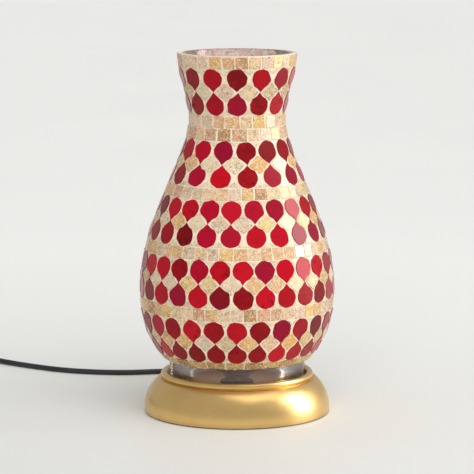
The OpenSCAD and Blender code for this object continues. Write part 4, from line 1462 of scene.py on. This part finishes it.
class LAMP_OT_holder(bpy.types.Operator):
    """Turn the lampholder and the bulb"""

    bl_idname = "lamp.holder"
    bl_label = "Lampholder and bulb"

    def execute(self, context):
        self.holder()
        self.bulb()
        return {"FINISHED"}

    @staticmethod
    def holder():
        z0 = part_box("holder_cap")[0][2] / MM
        r, neck, wall, high = 19.0, 9.5, 2.2, 19.5
        section = [(5.05, 0.0), (neck - 0.5, 0.0), (neck, 0.5), (neck, 3.3)]
        section += arc((neck + 4.4, 4.0), 3.0, 180, 110, 4)[1:]
        section += [(r - 3.0, 8.3), (r - 1.0, 9.6), (r - 0.2, 11.0), (r, 12.4)]
        section += [(r, high - 0.5), (r - 0.5, high), (r - wall, high), (r - wall, 13.3)]
        section += [(r - wall - 3.4, 13.3), (r - wall - 3.4, 10.3), (neck, 6.6), (5.05, 6.4)]
        mesh = turned("holder_cap_turned", [(a, z + z0) for a, z in section], 288)
        smooth(mesh, 35)
        piece("holder_cap_turned", mesh, "slate_plastic", "base", ["holder_cap"])
        low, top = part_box("holder_shell")
        z1, z2 = low[2] / MM + 4.0, top[2] / MM
        out, bore = r - 0.4, r - wall - 2.2
        spigot, ribs = r - wall - 0.1, 60
        section = [(bore, z1 - 4.0), (spigot, z1 - 4.0), (spigot, z1), (out, z1 + 0.05)]
        section += [(out, z) for z in (z1 + 2.0, *np.linspace(z1 + 2.4, z2 - 5.0, 8), z2 - 4.0)]
        section += [(out - 0.2, z2 - 2.2), (out - 1.5, z2 - 1.2), (out - 2.2, z2), (bore, z2)]

        def grip(radius, z, a):
            inside = z1 + 2.3 < z < z2 - 4.9 and radius > out - 0.1
            return radius - (0.45 * max(0.0, math.cos(a * ribs)) if inside else 0)

        mesh = turned("holder_shell_ribbed", section, 360, shape=grip)
        smooth(mesh, 40)
        piece("holder_shell_ribbed", mesh, "slate_plastic", "base", ["holder_shell"])

    @staticmethod
    def bulb():
        low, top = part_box("bulb_cap")
        z0, z1, r = low[2] / MM, top[2] / MM, top[0] / MM
        pitch = 3.6
        section = [(r - 2.6, z0 + 0.6), (r - 2.0, z0), (r - 1.0, z0 + 1.0), (r - 0.5, z0 + 2.0)]
        section += [(r - 0.5, z) for z in np.arange(z0 + 2.6, z1 - 3.2, 0.45)]
        section += [(r - 0.7, z1 - 2.6), (r - 0.7, z1 - 0.4), (r - 0.1, z1 - 0.1), (r - 0.4, z1)]
        section += [(r - 1.1, z1 - 0.2), (r - 1.2, z1 - 2.6), (r - 1.2, z0 + 2.6)]

        def thread(radius, z, a):
            on = z0 + 2.3 < z < z1 - 3.0 and radius > r - 0.6
            return radius + (0.5 * math.cos(2 * math.pi * z / pitch - a) if on else 0)

        mesh = turned("bulb_cap_threaded", section, 96, shape=thread)
        smooth(mesh, 50)
        piece("bulb_cap_threaded", mesh, "bulb_cap_metal", "bulb", ["bulb_cap"])
        low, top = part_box("bulb_envelope")
        r, z2, z0 = top[0] / MM, top[2] / MM, low[2] / MM
        mid, skin, neck = z2 - r, 0.8, 12.4

        def outline(inset):
            ball = arc((0.0, mid), r - inset, 90, -38, 40)
            bx, bz = ball[-1]
            tail = []
            for k in range(1, 15):
                t = k / 14
                ease = t * t * (3 - 2 * t)
                tail.append((bx + (neck - inset - bx) * ease, bz + (z0 + 6 - bz) * t))
            return ball + tail + [(neck - inset, z0)]

        outer, inner = outline(0.0), outline(skin)
        outer[0] = (0.0, z2)
        inner[0] = (0.0, z2 - skin)
        mesh = turned("bulb_envelope_blown", outer + inner[::-1], 96, closed=False)
        smooth(mesh, 60)
        piece("bulb_envelope_blown", mesh, "bulb_glass", "bulb", ["bulb_envelope"])


class LAMP_OT_finishes(bpy.types.Operator):
    """Give the pieces that keep their frame shape their finish"""

    bl_idname = "lamp.finishes"
    bl_label = "Finishes"

    KEPT = {
        "steel": ("plate_posts", "lock_washer", "grip_screws", "terminal_screws", "switch_screws"),
        "brass": (
            "threaded_nipple", "thread_contact", "centre_contact", "bulb_contact",
            "switch_contacts",
        ),
        "porcelain": ("holder_core",),
        "cord_pvc": ("inner_cord",),
        "core_pvc": ("live_and_neutral_cores",),
        "rocker_plastic": ("bulb_insulator",),
        "bulb_glass": ("bulb_stem",),
        "filament": ("bulb_filaments",),
        "pin_metal": ("plug_pins",),
    }

    def execute(self, context):
        for slot, names in self.KEPT.items():
            for name in names:
                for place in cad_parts[name].material_slots:
                    place.material = coat_of(slot)
        return {"FINISHED"}


class LAMP_PT_panel(bpy.types.Panel):
    """The lamp's settings and the steps that make it"""

    bl_idname = "LAMP_PT_panel"
    bl_label = "Mosaic lamp"
    bl_space_type = "VIEW_3D"
    bl_region_type = "UI"
    bl_category = "Mosaic lamp"

    def draw(self, context):
        for group in GROUPS.values():
            box = self.layout.box()
            settings = getattr(context.scene, group)
            for name in settings.__annotations__:
                box.prop(settings, name)
        for step in STEPS:
            self.layout.operator(step.bl_idname)


GROUPS = {
    LAMP_PG_mosaic: "lamp_mosaic", LAMP_PG_colours: "lamp_colours", LAMP_PG_stage: "lamp_stage",
}
STEPS = (
    LAMP_OT_stage, LAMP_OT_lead, LAMP_OT_squares, LAMP_OT_drops, LAMP_OT_pearl, LAMP_OT_grout,
    LAMP_OT_vase, LAMP_OT_base, LAMP_OT_holder, LAMP_OT_finishes,
)


def register():
    for group, name in GROUPS.items():
        bpy.utils.register_class(group)
        setattr(bpy.types.Scene, name, bpy.props.PointerProperty(type=group))
    for made in STEPS + (LAMP_PT_panel,):
        bpy.utils.register_class(made)


def unregister():
    for made in (LAMP_PT_panel,) + STEPS[::-1]:
        bpy.utils.unregister_class(made)
    for group, name in GROUPS.items():
        delattr(bpy.types.Scene, name)
        bpy.utils.unregister_class(group)


def main():
    register()
    for step in STEPS:
        getattr(bpy.ops.lamp, step.bl_idname.split(".")[1])()
    bpy.context.view_layer.update()


if __name__ == "__main__":
    main()
